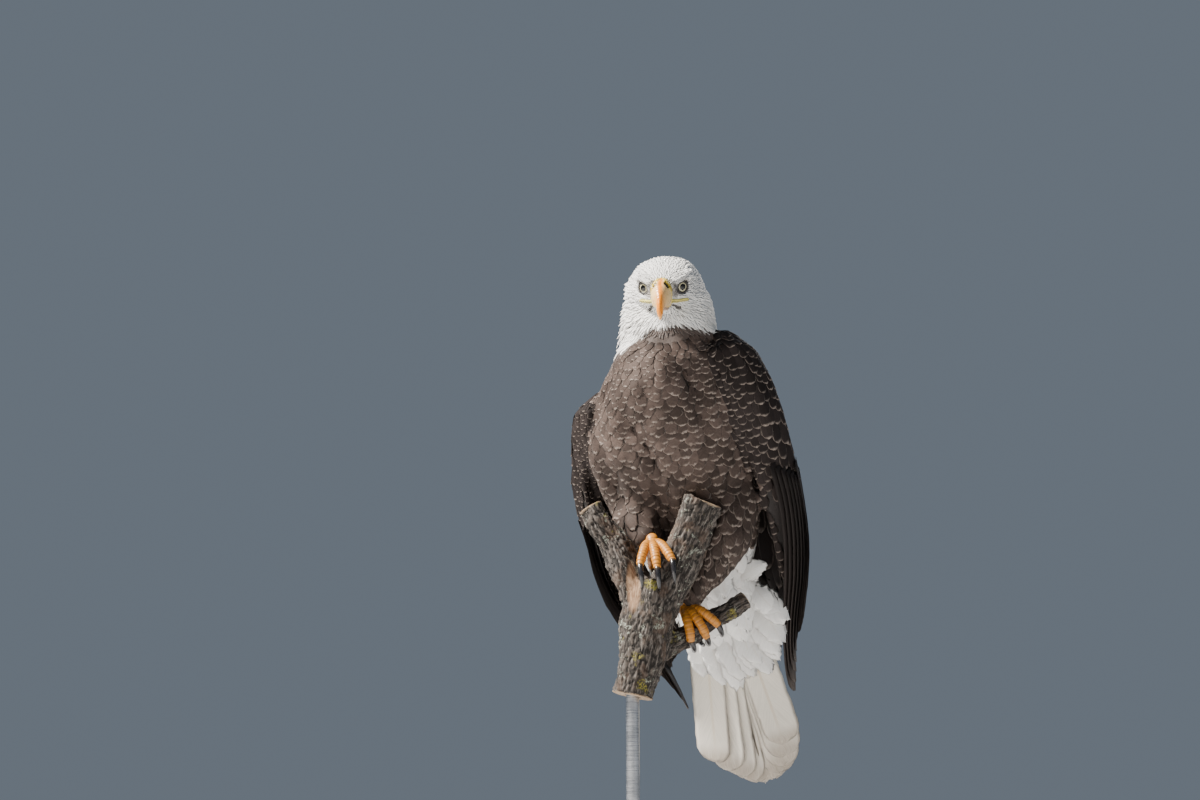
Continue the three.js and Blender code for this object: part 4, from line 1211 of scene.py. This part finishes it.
# ------------------------------------------------------------------ bill (head frame, millimetres)
# Each station gives the ridge above, the cutting edge below, and the half-width.
UPPER_BILL = [
    (0, -17, 14, -10, -17, 11.0),
    (1, -27, 15.5, -24, -18.5, 11.8),
    (2, -40, 15, -36, -17.8, 12.2),
    (3, -53, 11, -47, -16.2, 11.0),
    (4, -65, 3, -56, -15.2, 7.6),
    (5, -72.5, -7, -62, -16.5, 5.0),
    (6, -75.5, -17, -67.5, -21.5, 3.5),
    (7, -74.5, -26.5, -72.5, -27.5, 1),
]
LOWER_BILL = [
    (0, -10, -14, -10, -25.5, 9.5),
    (1, -28, -14, -28, -24, 8.0),
    (2, -40, -13.5, -40, -20.5, 5.6),
    (3, -47, -13, -46, -17.5, 4.0),
    (4, -51, -13, -50.5, -15.5, 2.4),
]
CERE_EDGE = -49  # the cere's front edge high on the bill's sides; over the ridge and low down it lies further back
CULMEN = (0.82, 0.25, 0.006)
BILL_SIDE = (0.84, 0.62, 0.30)
CERE = (0.72, 0.51, 0.03)
NOSTRIL = [(5.5, -44, 12.0), (9.0, -44, 7.2)]


def bill_rings(stations, rings, sides, ridge=0.16):
    rows = smooth_rows(stations)(np.linspace(0, stations[-1][0], rings))
    ridge_at = np.stack([np.zeros(rings), rows[:, 0], rows[:, 1]], 1)
    edge_at = np.stack([np.zeros(rings), rows[:, 2], rows[:, 3]], 1)
    middle, up = (ridge_at + edge_at) / 2, (ridge_at - edge_at) / 2
    angle = 2 * math.pi * np.arange(sides) / sides
    c, s = np.cos(angle), np.sin(angle)
    high = np.sign(s) * np.abs(s) ** 0.92
    full = np.where(s > 0, 1 - ridge * s**2, 1.0)
    bulge = np.interp(rows[:, 0], [-70, -50, -30], [1.0, 0.9, 0.66])[:, None]
    across = rows[:, 4][:, None] * full * np.sign(c) * np.abs(c) ** np.where(s > 0, bulge, 0.26)
    out = middle[:, None] + up[:, None] * high[None, :, None]
    out[..., 0] = across
    return out


def make_bill():
    rings = bill_rings(UPPER_BILL, 130, 96)
    x, y, z = np.moveaxis(rings, -1, 0)
    flat = rings.reshape(-1, 3)
    centre = rings.mean(1, keepdims=True)
    outward = unit(rings - centre)
    wavy = CERE_EDGE + 22 * np.exp(-((x / 4.2) ** 2)) * (z > 0) + 13 * ease(z, 7, -4) + 1.2 * np.cos(z / 5.0)
    on_cere = ease(y, wavy - 1.2, wavy + 1.2)
    swell = 0.9 * on_cere - 0.35 * np.exp(-(((y - wavy + 1.2) / 0.8) ** 2))
    slit = np.zeros(x.shape)
    for side in (1, -1):
        far, _ = far_from_line(flat * (1, 0.3, 1), mirrored(NOSTRIL, side) * (1, 0.3, 1))
        slit = np.maximum(slit, ease(far, 1.7, 1.0).reshape(x.shape) * ease(y, -35, -39))
        swell += 0.5 * ease(far, 5.0, 2.4).reshape(x.shape) * ease(y, -33, -40)
    swell -= 2.2 * slit
    swell += 0.12 * np.sin(y * 1.9 + 0.8 * np.sin(z * 0.7)) * (1 - on_cere)
    rings = rings + outward * swell[..., None]
    along = np.clip((-y - 30) / 45, 0, 1)
    crest = np.exp(-((x / 3.4) ** 2)) * ease(z, -26, -16) * (1 - on_cere)
    colour = blend(np.clip(crest + 0.5 * along**2, 0, 1), BILL_SIDE, CULMEN)
    colour = blend(0.95 * on_cere, colour, CERE)
    # the nostril painted near black, as the shade inside it
    colour = blend(slit, colour, (0.02, 0.013, 0.008))
    rim = ease(np.sin(2 * math.pi * np.arange(96) / 96), -0.86, -0.97)[None] * (1 - on_cere)
    colour = blend(0.5 * rim, colour, (0.45, 0.30, 0.10))
    return loft("bill_upper_horn", from_head(rings.reshape(-1, 3)).reshape(rings.shape), colour)


def make_lower_bill():
    rings = bill_rings(LOWER_BILL, 40, 40, ridge=0.1)
    # the horn's yellow painted dark and grey, as the shade under the upper bill
    colour = np.broadcast_to(np.array(BILL_SIDE) * (0.40, 0.34, 0.45), rings.shape)
    return loft("bill_lower_horn", from_head(rings.reshape(-1, 3)).reshape(rings.shape), colour)


LIP = (0.74, 0.64, 0.16)


def make_lip(name, side):
    """The yellow fleshy corner of the mouth: two thin folds that run back over the skin to below the eye."""
    line, _ = sweep(mirrored(LIPS, side), 40)
    place, normal = skin.nearest(from_head(line))
    outward = turned(normal, HEAD.inverted())
    line = in_head(place) + outward * 0.7
    ways = unit(np.gradient(line, axis=0))
    up = unit(np.cross(ways, outward))
    up *= np.sign(up[:, 2:3])
    t = np.linspace(0, 1, 40)
    wide = np.interp(t, [0, 0.2, 0.7, 0.92, 1], [2.6, 2.6, 2.4, 1.9, 0.4])[:, None]
    angle = 2 * math.pi * np.arange(24) / 24
    c, s = np.cos(angle)[None], np.sin(angle)[None]
    furrow = np.exp(-((s / 0.34) ** 2)) * (c > 0)
    fold = 1 + 0.10 * np.sin(t * 40)[:, None]
    out = 1.6 * c * fold * (1 - 0.45 * furrow)
    rings = line[:, None] + outward[:, None] * out[..., None] + up[:, None] * (s * wide)[..., None]
    high = s + 0 * wide
    # painted shade in the furrow between the two folds and along their underside
    colour = blend(np.maximum(0.92 * furrow + 0 * wide, ease(high, -0.5, -0.95)), LIP, (0.16, 0.13, 0.05))
    return loft(f"lip_{name}", from_head(rings.reshape(-1, 3)).reshape(rings.shape), colour)


def horn_look(name, rough, grain, **more):
    """Horn or scaly skin: stored tint, faint mottling and fine growth lines."""
    look = Look(name, Roughness=rough, **more)
    tint = look.node("Attribute", attribute_name="tint").outputs["Color"]
    mottle = look.noise(180, 5, 0.6)
    fine = look.noise(grain, 3, 0.6, look.stretched(1, 0.25, 1))
    level = look.math("MULTIPLY", look.ramp(mottle, 0.3, 0.7, 0.86, 1.08), look.ramp(fine, 0.3, 0.7, 0.93, 1.05))
    grey = look.node("CombineColor", {0: level, 1: level, 2: level}).outputs[0]
    look.colour(look.mix(1.0, tint, grey, "MULTIPLY"))
    look.rough(look.ramp(mottle, 0.3, 0.7, rough * 0.8, rough * 1.25))
    look.bump(fine, 0.25, 0.25 * MM)
    return look.made


horn = horn_look("bill_horn", 0.32, 1400, Subsurface_Weight=0.08, Subsurface_Radius=(0.004, 0.002, 0.001),
                 Subsurface_Scale=0.5)
finish(make_bill(), horn, "yellow_horn", "bill_upper")
finish(make_lower_bill(), horn, "yellow_horn", "bill_lower")
for name, side in (("left", 1), ("right", -1)):
    finish(make_lip(name, side), horn, "yellow_horn")

# ------------------------------------------------------------------ eyes and lids (head frame)
PUPIL_ANGLE, IRIS_ANGLE = 21.0, 34.5


def eye_frame(side):
    """Straight out of the eye, towards the back of the head, and up."""
    out = eye_axis(side)
    up = np.array([0.0, 0.0, 1.0])
    back = np.array([side * math.cos(math.radians(EYE_TURN)), math.sin(math.radians(EYE_TURN)), 0])
    return out, back, up


def eye_place(side, radius, polar, round_it):
    """Places at a radius from the eye's middle, polar degrees off its axis, round from the back corner."""
    out, back, up = eye_frame(side)
    p = np.radians(polar)[..., None]
    sideways = back * np.cos(round_it)[..., None] + up * np.sin(round_it)[..., None]
    return eye_middle(side) + np.asarray(radius)[..., None] * (out * np.cos(p) + sideways * np.sin(p))


def make_eyeball(name, side):
    polar = np.concatenate([np.linspace(0.5, 40, 45), np.linspace(44, 178, 24)])[:, None] * np.ones((1, 72))
    round_it = (2 * math.pi * np.arange(72) / 72)[None] * np.ones_like(polar)
    radius = EYE_RADIUS - 0.35 + 0.75 * np.exp(-((polar / 26) ** 2))
    rings = eye_place(side, radius, polar, round_it)
    streak = 0.5 + 0.5 * np.sin(round_it * 23 + 3 * np.sin(round_it * 7)) * np.sin(round_it * 11 + 1)
    iris = blend(0.35 * streak, (0.68, 0.64, 0.44), (0.46, 0.41, 0.24))
    iris = blend(ease(polar, IRIS_ANGLE - 6, IRIS_ANGLE - 1), iris, (0.30, 0.25, 0.13))
    iris = blend(ease(polar, PUPIL_ANGLE + 4, PUPIL_ANGLE + 0.8) * 0.35, iris, (0.25, 0.18, 0.07))
    colour = blend(ease(polar, PUPIL_ANGLE + 0.7, PUPIL_ANGLE - 0.3), iris, (0.004, 0.004, 0.004))
    colour = blend(ease(polar, IRIS_ANGLE, IRIS_ANGLE + 1.5), colour, (0.02, 0.016, 0.012))
    return loft(f"eyeball_{name}", from_head(rings.reshape(-1, 3)).reshape(rings.shape), colour)


def make_lids(name, side):
    """A ring of bare skin round the eye, its upper edge flattened under the brow."""
    count = 96
    angle = 2 * math.pi * np.arange(count) / count
    up, back = np.sin(angle), np.cos(angle)
    upper = 28.5 + 2.5 * back - 3.0 * np.maximum(-back, 0)
    lower = 31.5
    tall = np.where(up > 0, upper, lower)
    opening = 1 / np.sqrt((back / 37.0) ** 2 + (up / tall) ** 2)
    steps = [(0.0, 10.6), (0.2, 11.35), (2.0, 11.75), (4.5, 12.0), (8.0, 12.0), (12, 12.15), (17, 12.3), (24, 12.2),
             (32, 11.6), (40, 10.4)]
    rings, colour = [], []
    for off, radius in steps:
        polar = opening + off
        brow = 1.1 * np.exp(-(((off - 8) / 6) ** 2)) * np.maximum(up, 0)
        rings.append(eye_place(side, radius + brow, polar, angle))
        # The lid skin is dark at the eye's edge and towards the back corner; the dark band across the top is painted
        # shadow of the brow.
        dark = ease(off, 20, 12) * np.ones(count)
        dark = np.maximum(dark, ease(off, 26, 16) * ease(up, -0.1, 0.5))
        dark = np.maximum(dark, 0.8 * ease(off, 20, 8) * np.maximum(back, 0))
        colour.append(blend(dark, (0.30, 0.27, 0.22), (0.018, 0.014, 0.012)))
    for off, radius in steps[::-1]:
        rings.append(eye_place(side, radius - 0.8 + 0 * angle, opening + off, angle))
        colour.append(np.tile((0.2, 0.18, 0.15), (count, 1)))
    rings, colour = np.array(rings), np.array(colour)
    grid = np.arange(len(rings) * count).reshape(len(rings), count)
    beside, below = np.roll(grid, -1, axis=1), np.roll(grid, -1, axis=0)
    quads = np.stack([grid, beside, np.roll(below, -1, axis=1), below], -1).reshape(-1, 4)
    if side > 0:
        quads = quads[:, ::-1]
    piece = mesh_piece(f"lids_{name}", from_head(rings.reshape(-1, 3)), [quads])
    paint(piece, "tint", np.concatenate([colour.reshape(-1, 3), np.ones((colour.size // 3, 1))], 1))
    return piece


def eye_look():
    look = Look("eye", Roughness=0.12, Coat_Weight=0.4, Coat_Roughness=0.02, IOR=1.36)
    tint = look.node("Attribute", attribute_name="tint").outputs["Color"]
    fleck = look.noise(2600, 3)
    level = look.ramp(fleck, 0.3, 0.7, 0.82, 1.12)
    grey = look.node("CombineColor", {0: level, 1: level, 2: level}).outputs[0]
    look.colour(look.mix(1.0, tint, grey, "MULTIPLY"))
    return look.made


lid_look = horn_look("lid_skin", 0.5, 900)
eye_shine = eye_look()
for name, side in (("left", 1), ("right", -1)):
    finish(make_eyeball(name, side), eye_shine, "iris", f"eye_{name}")
    finish(make_lids(name, side), lid_look, "talon")

# ------------------------------------------------------------------ feet (world frame, millimetres)
# Each foot grips the wood: centre is the wood's middle below it, axis runs along the wood, forward across it,
# and grip is the radius to the middle of a toe. knee is in the body's frame.
FEET = {
    "right": dict(centre=(-37, -51, 405), axis=(1, 0, 0.1), forward=(0.05, -1, 0), grip=39, knee=(-58, -38, -93)),
    "left": dict(centre=(14, -28, 347), axis=(0.87, 0.1, 0.48), forward=(0.1, -1, 0.03), grip=20.5, knee=(54, -15, -100)),
}
# name: spread along the wood at its root and its end, and how far round the wood it reaches, in degrees.
TOES = {"inner": (-5, -19, 8, 104), "middle": (0, 1, 8, 116), "outer": (5, 20, 8, 100), "hind": (0, -2, -8, -92)}
TOE_RADIUS, REACH_RADIUS, CLAW_SWEEP = 6.2, 27, 62
FOOT_YELLOW, FOOT_ORANGE, FOOT_CREASE_SHADE = (0.56, 0.22, 0.026), (0.40, 0.13, 0.014), (0.11, 0.04, 0.009)


def foot_frame(foot):
    along = unit(np.array(foot["axis"], float))
    forward = np.array(foot["forward"], float)
    forward = unit(forward - along * (forward @ along))
    up = np.cross(along, forward)
    return along, forward, up * np.sign(up[2])


def round_perch(foot, degrees, along, out=0.0):
    """Places round the wood, and the way out from it there."""
    axis, forward, up = foot_frame(foot)
    a = np.radians(np.asarray(degrees, float))[..., None]
    outward = forward * np.sin(a) + up * np.cos(a)
    reach = np.asarray(foot["grip"] + out)[..., None]
    return np.array(foot["centre"]) + outward * reach + axis * np.asarray(along)[..., None], outward


def wrap(foot, degrees):
    return degrees * REACH_RADIUS / max(foot["grip"], REACH_RADIUS * 0.85)


def tube(line, outward, radius, sides):
    """Rings round a line; the first point of each ring lies outward. radius is (rings, sides)."""
    ways = unit(np.gradient(line, axis=0))
    out = flat_on(outward, ways)
    side = np.cross(ways, out)
    angle = (2 * math.pi * np.arange(sides) / sides)[None, :, None]
    return line[:, None] + (out[:, None] * np.cos(angle) + side[:, None] * np.sin(angle)) * radius[..., None]


def scaly(name, line, outward, base, scute):
    """A toe or shank: overlapping scutes along its top, grainy pads below."""
    count, sides = len(line), 28
    length = np.concatenate([[0], np.cumsum(np.linalg.norm(np.diff(line, axis=0), axis=1))])
    top = np.cos(2 * math.pi * np.arange(sides) / sides)[None]
    saw = (length / scute) % 1.0
    step = (saw**0.7 - 0.25 * (saw > 0.93))[:, None]
    plate = ease(top, -0.1, 0.35)
    pad = ease(top, 0.0, -0.5) * (0.5 + 0.5 * np.cos(2 * math.pi * length / (scute * 3.1)))[:, None]
    grain = 0.12 * np.sin(length * 3.1)[:, None] * np.sin(9 * np.arccos(np.clip(top, -1, 1))) * (1 - plate)
    radius = base[:, None] * (1 + 0 * top) + 0.85 * step * plate + 0.9 * pad + grain
    rings = tube(line, outward, radius, sides)
    # painted shade in the crease under each scute's back edge
    crease_shade = ease(saw, 0.22, 0.04)[:, None] * plate
    colour = blend(0.55 * ease(top, 0.3, -0.8) + 0 * radius, FOOT_YELLOW, FOOT_ORANGE)
    colour = blend(0.8 * crease_shade, colour, FOOT_CREASE_SHADE)
    return loft(name, rings * MM, colour)


def joined(name, pieces):
    """One object from several, keeping their stored colours."""
    with bpy.context.temp_override(active_object=pieces[0], selected_editable_objects=pieces):
        bpy.ops.object.join()
    pieces[0].name = pieces[0].data.name = name
    return pieces[0]


def make_foot(name, foot):
    made = []
    for toe, (root, end, start, stop) in TOES.items():
        t = np.linspace(0, 1, 64)
        place, outward = round_perch(foot, wrap(foot, start + (stop - start) * t), root + (end - root) * t, 1.5 * (1 - t))
        knuckles = 0.06 * np.cos(2 * math.pi * t * 2.6)
        made.append(scaly(toe, place, outward, (TOE_RADIUS - 0.4) * (1.1 - 0.30 * t + knuckles * t), 4.4))
    knee = from_body([foot["knee"]])[0] / MM
    low, _ = round_perch(foot, 0, 0.0, 0.5)
    ankle, _ = round_perch(foot, -6, 0.0, 9)
    line, _ = sweep([low, ankle, ankle + 0.4 * (knee - ankle), ankle + 0.8 * (knee - ankle)], 60)
    outward = np.tile(foot_frame(foot)[1], (60, 1))
    made.append(scaly("shank", line, outward, np.interp(np.linspace(0, 1, 60), [0, 0.3, 1], [8.6, 7.6, 8.2]), 5.5))
    return joined(f"foot_{name}_scaled", made)


def make_claw(name, foot, toe):
    root, end, start, stop = TOES[toe]
    sign = np.sign(stop)
    sweep_by = CLAW_SWEEP * REACH_RADIUS / max(foot["grip"], REACH_RADIUS)
    t = np.linspace(-0.06, 1, 44)
    lift = 3.5 * np.sin(math.pi * np.clip(t, 0, 1) * 0.9) - 2.5 * t**2
    place, outward = round_perch(foot, wrap(foot, stop) + sign * (sweep_by * t + 2.5), end + 0 * t, lift + 0.8)
    radius = np.interp(t, [-0.06, 0, 0.25, 0.5, 0.75, 0.93, 1], [4.2, 4.6, 4.2, 3.4, 2.4, 1.2, 0.35])
    angle = 2 * math.pi * np.arange(24) / 24
    flat = 1 - 0.16 * np.sin(angle) ** 2
    rings = tube(place, outward, radius[:, None] * flat[None], 24)
    colour = blend(ease(t, 0.12, -0.02)[:, None] + 0 * rings[..., 0], (0.016, 0.015, 0.017), (0.09, 0.06, 0.035))
    return loft(f"talon_{name}_{toe}", rings * MM, colour)


leg_look = horn_look("foot_skin", 0.42, 700)
talon_look = horn_look("talon_horn", 0.2, 1500, Coat_Weight=0.3, Coat_Roughness=0.15)
for name, foot in FEET.items():
    finish(make_foot(name, foot), leg_look, "yellow_horn", f"foot_{name}")
    for toe in TOES:
        finish(make_claw(name, foot, toe), talon_look, "talon", f"claw_{name}_{toe}")

# ------------------------------------------------------------------ perch (world frame, millimetres)
LIMBS = {
    "trunk": ([(-66, -52, 262), (-58, -52, 300), (-50, -51, 340), (-43, -51, 376), (-38, -51, 398)], 30),
    "left": ([(-46, -51, 352), (-60, -51, 390), (-80, -51, 430), (-104, -52, 470), (-117, -52, 492)], 19),
    "right": ([(-40, -51, 352), (-24, -53, 388), (-5, -59, 432), (11, -66, 470), (21, -71, 496)], 24.5),
    "side": ([(-48, -48, 312), (-20, -36, 328), (14, -28, 346), (48, -24, 366), (74, -22, 383)], 14),
}
BARK_VOXEL = 1.35 * MM
CUTS = {"trunk": 0, "left": -1, "right": -1, "side": -1}  # which end of each limb is sawn


def limb_grain(points):
    """For each point: its nearest limb's number, and its place along and round that limb, in millimetres."""
    best = np.full(len(points), 1e9)
    owner = np.zeros(len(points), int)
    grain = np.zeros((len(points), 3))
    for number, (line, radius) in enumerate(LIMBS.values()):
        far, along = far_from_line(points, line)
        line = np.array(line, float)
        way = unit(line[-1] - line[0])
        side = unit(np.cross(way, (0, 1, 0)))
        front = np.cross(side, way)
        here = far / radius
        near = here < best
        best[near], owner[near] = here[near], number
        local = points[near] - line[0]
        grain[near] = np.stack([local @ way, local @ side, local @ front], 1)
    return owner, grain


def sawn_share(points, normals):
    """1 on the flat sawn ends of the limbs."""
    share = np.zeros(len(points))
    for name, end in CUTS.items():
        line = np.array(LIMBS[name][0], float)
        way = unit(line[0] - line[1]) if end == 0 else unit(line[-1] - line[-2])
        face = ease(normals @ way, 0.75, 0.92) * ((points - line[end]) @ way > -4)
        share = np.maximum(share, face * (np.linalg.norm(points - line[end], axis=1) < 40))
    return share


def bark_height(grain, seed):
    """Furrowed bark: long plates parted by cracks, and small ones within them."""
    out = np.empty(len(grain))
    offset = Vector((seed * 7.3, seed * 3.1, seed * 5.7))
    for i, (along, a, b) in enumerate(grain.tolist()):
        p = Vector((along / 15, a / 6.5, b / 6.5)) + offset
        p += noise.noise_vector(p * 1.7) * 0.45
        near = noise.voronoi(p)[0]
        plate = min((near[1] - near[0]) * 2.2, 1.0)
        fine = noise.voronoi(Vector((along / 5, a / 3, b / 3)) + offset)[0]
        chip = min((fine[1] - fine[0]) * 2.0, 1.0)
        out[i] = 1.9 * plate + 0.7 * chip + 0.9 * noise.fractal(p * 2.5, 0.9, 2.1, 4)
    return out


def make_perch():
    wood = Surface(*remeshed(["perch"], BARK_VOXEL))
    wood.points = wood.blur(wood.points, 14)
    wood.find_normals()
    mm = wood.points / MM
    owner, grain = limb_grain(mm)
    sawn = sawn_share(mm, wood.normals)
    bare = ease(np.linalg.norm((mm - (-66, -78, 392)) / (9, 24, 34), axis=1), 1.1, 0.7)
    height = bark_height(grain, 1)
    swell = (height - 1.6) * (1 - sawn) * (1 - 0.8 * bare) - 1.2 * bare
    knots = 3.0 * noise_at(wood.points, 0.055, 41) * (1 - sawn)
    wood.points += wood.normals * ((swell + knots) * MM)[:, None]
    wood.find_normals()
    piece = mesh_piece("perch_bark", wood.points, [wood.quads])
    paint(piece, "grain", grain * MM)
    paint(piece, "kind", np.stack([sawn, bare, np.clip(height / 3.2, 0, 1)], 1))
    return piece


def bark_look():
    look = Look("bark", Roughness=0.88)
    kind = look.node("Attribute", attribute_name="kind").outputs["Vector"]
    sawn, bare, height = look.node("SeparateXYZ", {0: kind}).outputs
    grain = look.node("Attribute", attribute_name="grain").outputs["Vector"]
    fibre = look.noise(420, 6, 0.65, look.node("Mapping", {"Vector": grain, "Scale": (0.16, 1, 1)}).outputs[0], 0.4)
    patch = look.noise(34, 5, 0.6)
    speck = look.noise(520, 3, 0.6)
    # painted shade, near black, deep in the bark's cracks; the raised plates are grey-brown
    colour = look.mix(look.ramp(height, 0.15, 0.75), (0.011, 0.008, 0.006), (0.085, 0.069, 0.058))
    colour = look.mix(look.ramp(fibre, 0.50, 0.70), colour, (0.185, 0.163, 0.146))
    colour = look.mix(look.ramp(patch, 0.52, 0.66, 0, 0.55), colour, (0.11, 0.070, 0.048))
    lichen = look.math("MULTIPLY", look.ramp(look.noise(60, 4, 0.7, distortion=0.6), 0.57, 0.64), look.ramp(speck, 0.42, 0.55))
    colour = look.mix(look.math("MULTIPLY", lichen, 0.8), colour, (0.34, 0.36, 0.30))
    yellow = look.math("MULTIPLY", look.ramp(look.noise(27, 3, 0.6), 0.60, 0.68), look.ramp(speck, 0.40, 0.6))
    colour = look.mix(yellow, colour, (0.24, 0.21, 0.03))
    strip = look.mix(look.ramp(fibre, 0.35, 0.65), (0.17, 0.09, 0.045), (0.36, 0.235, 0.145))
    colour = look.mix(bare, colour, strip)
    x, y, z = look.node("SeparateXYZ", {0: grain}).outputs
    middle = look.math("SQRT", look.math("ADD", look.math("MULTIPLY", y, y), look.math("MULTIPLY", z, z)))
    wave = look.math("SINE", look.math("MULTIPLY", look.math("ADD", middle, look.math("MULTIPLY", patch, 0.004)), 2600))
    rings = look.mix(look.ramp(wave, -1, 1), (0.33, 0.22, 0.13), (0.50, 0.37, 0.24))
    rings = look.mix(look.ramp(speck, 0.35, 0.6, 0, 0.35), rings, (0.16, 0.12, 0.09))
    colour = look.mix(sawn, colour, rings)
    look.colour(colour)
    look.bump(look.math("ADD", fibre, look.math("MULTIPLY", speck, 0.6)), 0.7, 1.0 * MM)
    return look.made


finish(make_perch(), bark_look(), "bark", "perch")

# ------------------------------------------------------------------ stand
ROD_FOOT = (-66, -52)
BASE_HEIGHT, BASE_RADIUS = 18, 180


def turned_piece(name, outline, centre, sides=128):
    """A closed turned piece from an outline of radius and height, in millimetres."""
    outline = np.array(outline, float)
    angle = -2 * math.pi * np.arange(sides) / sides
    ring = np.stack([np.cos(angle), np.sin(angle)], 1)
    rings = np.concatenate([outline[:, None, :1] * ring[None], np.tile(outline[:, None, 1:], (1, sides, 1))], 2)
    rings[..., :2] += centre
    return loft(name, rings * MM, np.ones(rings.shape))


def rounded(corner_from, corner, corner_to, radius, steps=5):
    """Points round a corner of an outline."""
    a, b, c = (np.array(p, float) for p in (corner_from, corner, corner_to))
    start, stop = b + unit(a - b) * radius, b + unit(c - b) * radius
    t = np.linspace(0, 1, steps)[:, None]
    return ((1 - t) ** 2 * start + 2 * t * (1 - t) * b + t**2 * stop).tolist()


def make_rod():
    low, top, r = BASE_HEIGHT + 0.35, 288, 8
    shape = [(17.5, low)] + rounded((19, low), (19, low + 4), (17, low + 12), 1.0)
    shape += rounded((19, low + 4), (17, low + 12), (r, low + 12), 1.6) + rounded((17, low + 12), (r, low + 12), (r, low + 30), 2.5)
    shape += [(r, z) for z in np.linspace(low + 30, top - 1, 12)] + [(r - 1, top)]
    return turned_piece("stand_rod_steel", shape, ROD_FOOT, 64)


def make_base():
    r, h = BASE_RADIUS, BASE_HEIGHT
    shape = [(r - 60, 0)] + rounded((0, 0), (r, 0), (r, h), 1.5) + rounded((r, 0), (r, h - 4), (r - 5, h), 2.5)
    shape += rounded((r, h - 4), (r - 5, h), (0, h), 2.0) + [(x, h) for x in (150, 110, 70, 30, 4)]
    return turned_piece("stand_base_wood", shape, (0, 0))


def steel_look():
    look = Look("brushed_steel", Metallic=1.0, Roughness=0.3)
    turned_lines = look.noise(900, 3, 0.6, look.stretched(0.04, 0.04, 1.6))
    smear = look.noise(40, 4)
    look.colour(look.mix(look.ramp(smear, 0.35, 0.65), (0.46, 0.47, 0.49), (0.60, 0.61, 0.63)))
    look.rough(look.ramp(turned_lines, 0.25, 0.75, 0.22, 0.42))
    look.bump(turned_lines, 0.25, 0.05 * MM)
    return look.made


def walnut_look():
    look = Look("dark_walnut", Roughness=0.35, Coat_Weight=0.25, Coat_Roughness=0.2)
    grain = look.noise(26, 6, 0.6, look.stretched(0.35, 4.5, 4.5), 1.2)
    pore = look.noise(900, 2, 0.5, look.stretched(0.05, 1, 1))
    colour = look.mix(look.ramp(grain, 0.32, 0.68), (0.022, 0.013, 0.009), (0.085, 0.048, 0.028))
    look.colour(look.mix(look.ramp(pore, 0.62, 0.72), colour, (0.012, 0.008, 0.006)))
    look.rough(look.ramp(grain, 0.3, 0.7, 0.30, 0.45))
    look.bump(look.math("SUBTRACT", grain, look.ramp(pore, 0.6, 0.72)), 0.2, 0.15 * MM)
    return look.made


finish(make_rod(), steel_look(), "stand_steel", "stand_rod")
finish(make_base(), walnut_look(), "stand_wood", "stand_base")

# ------------------------------------------------------------------ camera and studio
TARGET = Vector((-0.105, 0, 0.640))
DISTANCE, LOOK_UP, LENS = 2.4, 14, 56.69
camera = bpy.data.objects.new("camera", bpy.data.cameras.new("camera"))
bpy.context.scene.collection.objects.link(camera)
camera.data.lens, camera.data.sensor_width = LENS, 36
look = Vector((0, math.cos(math.radians(LOOK_UP)), math.sin(math.radians(LOOK_UP))))
camera.location = TARGET - look * DISTANCE
camera.rotation_euler = look.to_track_quat("-Z", "Y").to_euler()
bpy.context.scene.camera = camera


def area_light(name, place, aim, size, watts, colour=(1, 1, 1)):
    light = bpy.data.lights.new(name, "AREA")
    light.shape, light.size, light.energy, light.color = "DISK", size, watts, colour
    lamp = bpy.data.objects.new(name, light)
    lamp.location = place
    lamp.rotation_euler = (Vector(aim) - Vector(place)).to_track_quat("-Z", "Y").to_euler()
    bpy.context.scene.collection.objects.link(lamp)


area_light("key", (-2.15, -0.72, 2.95), (0, 0, 0.6), 0.4, 460, (1, 0.95, 0.88))
area_light("fill", (2.2, -2.0, 1.0), (0, 0, 0.55), 2.0, 2, (0.88, 0.93, 1))
area_light("rim", (0.6, 2.2, 1.9), (0, 0, 0.6), 1.2, 25)
world = bpy.data.worlds.new("studio")
bpy.context.scene.world = world
world.use_nodes = True
world.node_tree.nodes["Background"].inputs[0].default_value = (0.55, 0.66, 0.8, 1)
world.node_tree.nodes["Background"].inputs[1].default_value = 0.25
floor = mesh_piece("floor", [(-6, -6, 0), (6, -6, 0), (6, 6, 0), (-6, 6, 0)], [[(0, 1, 2, 3)]])
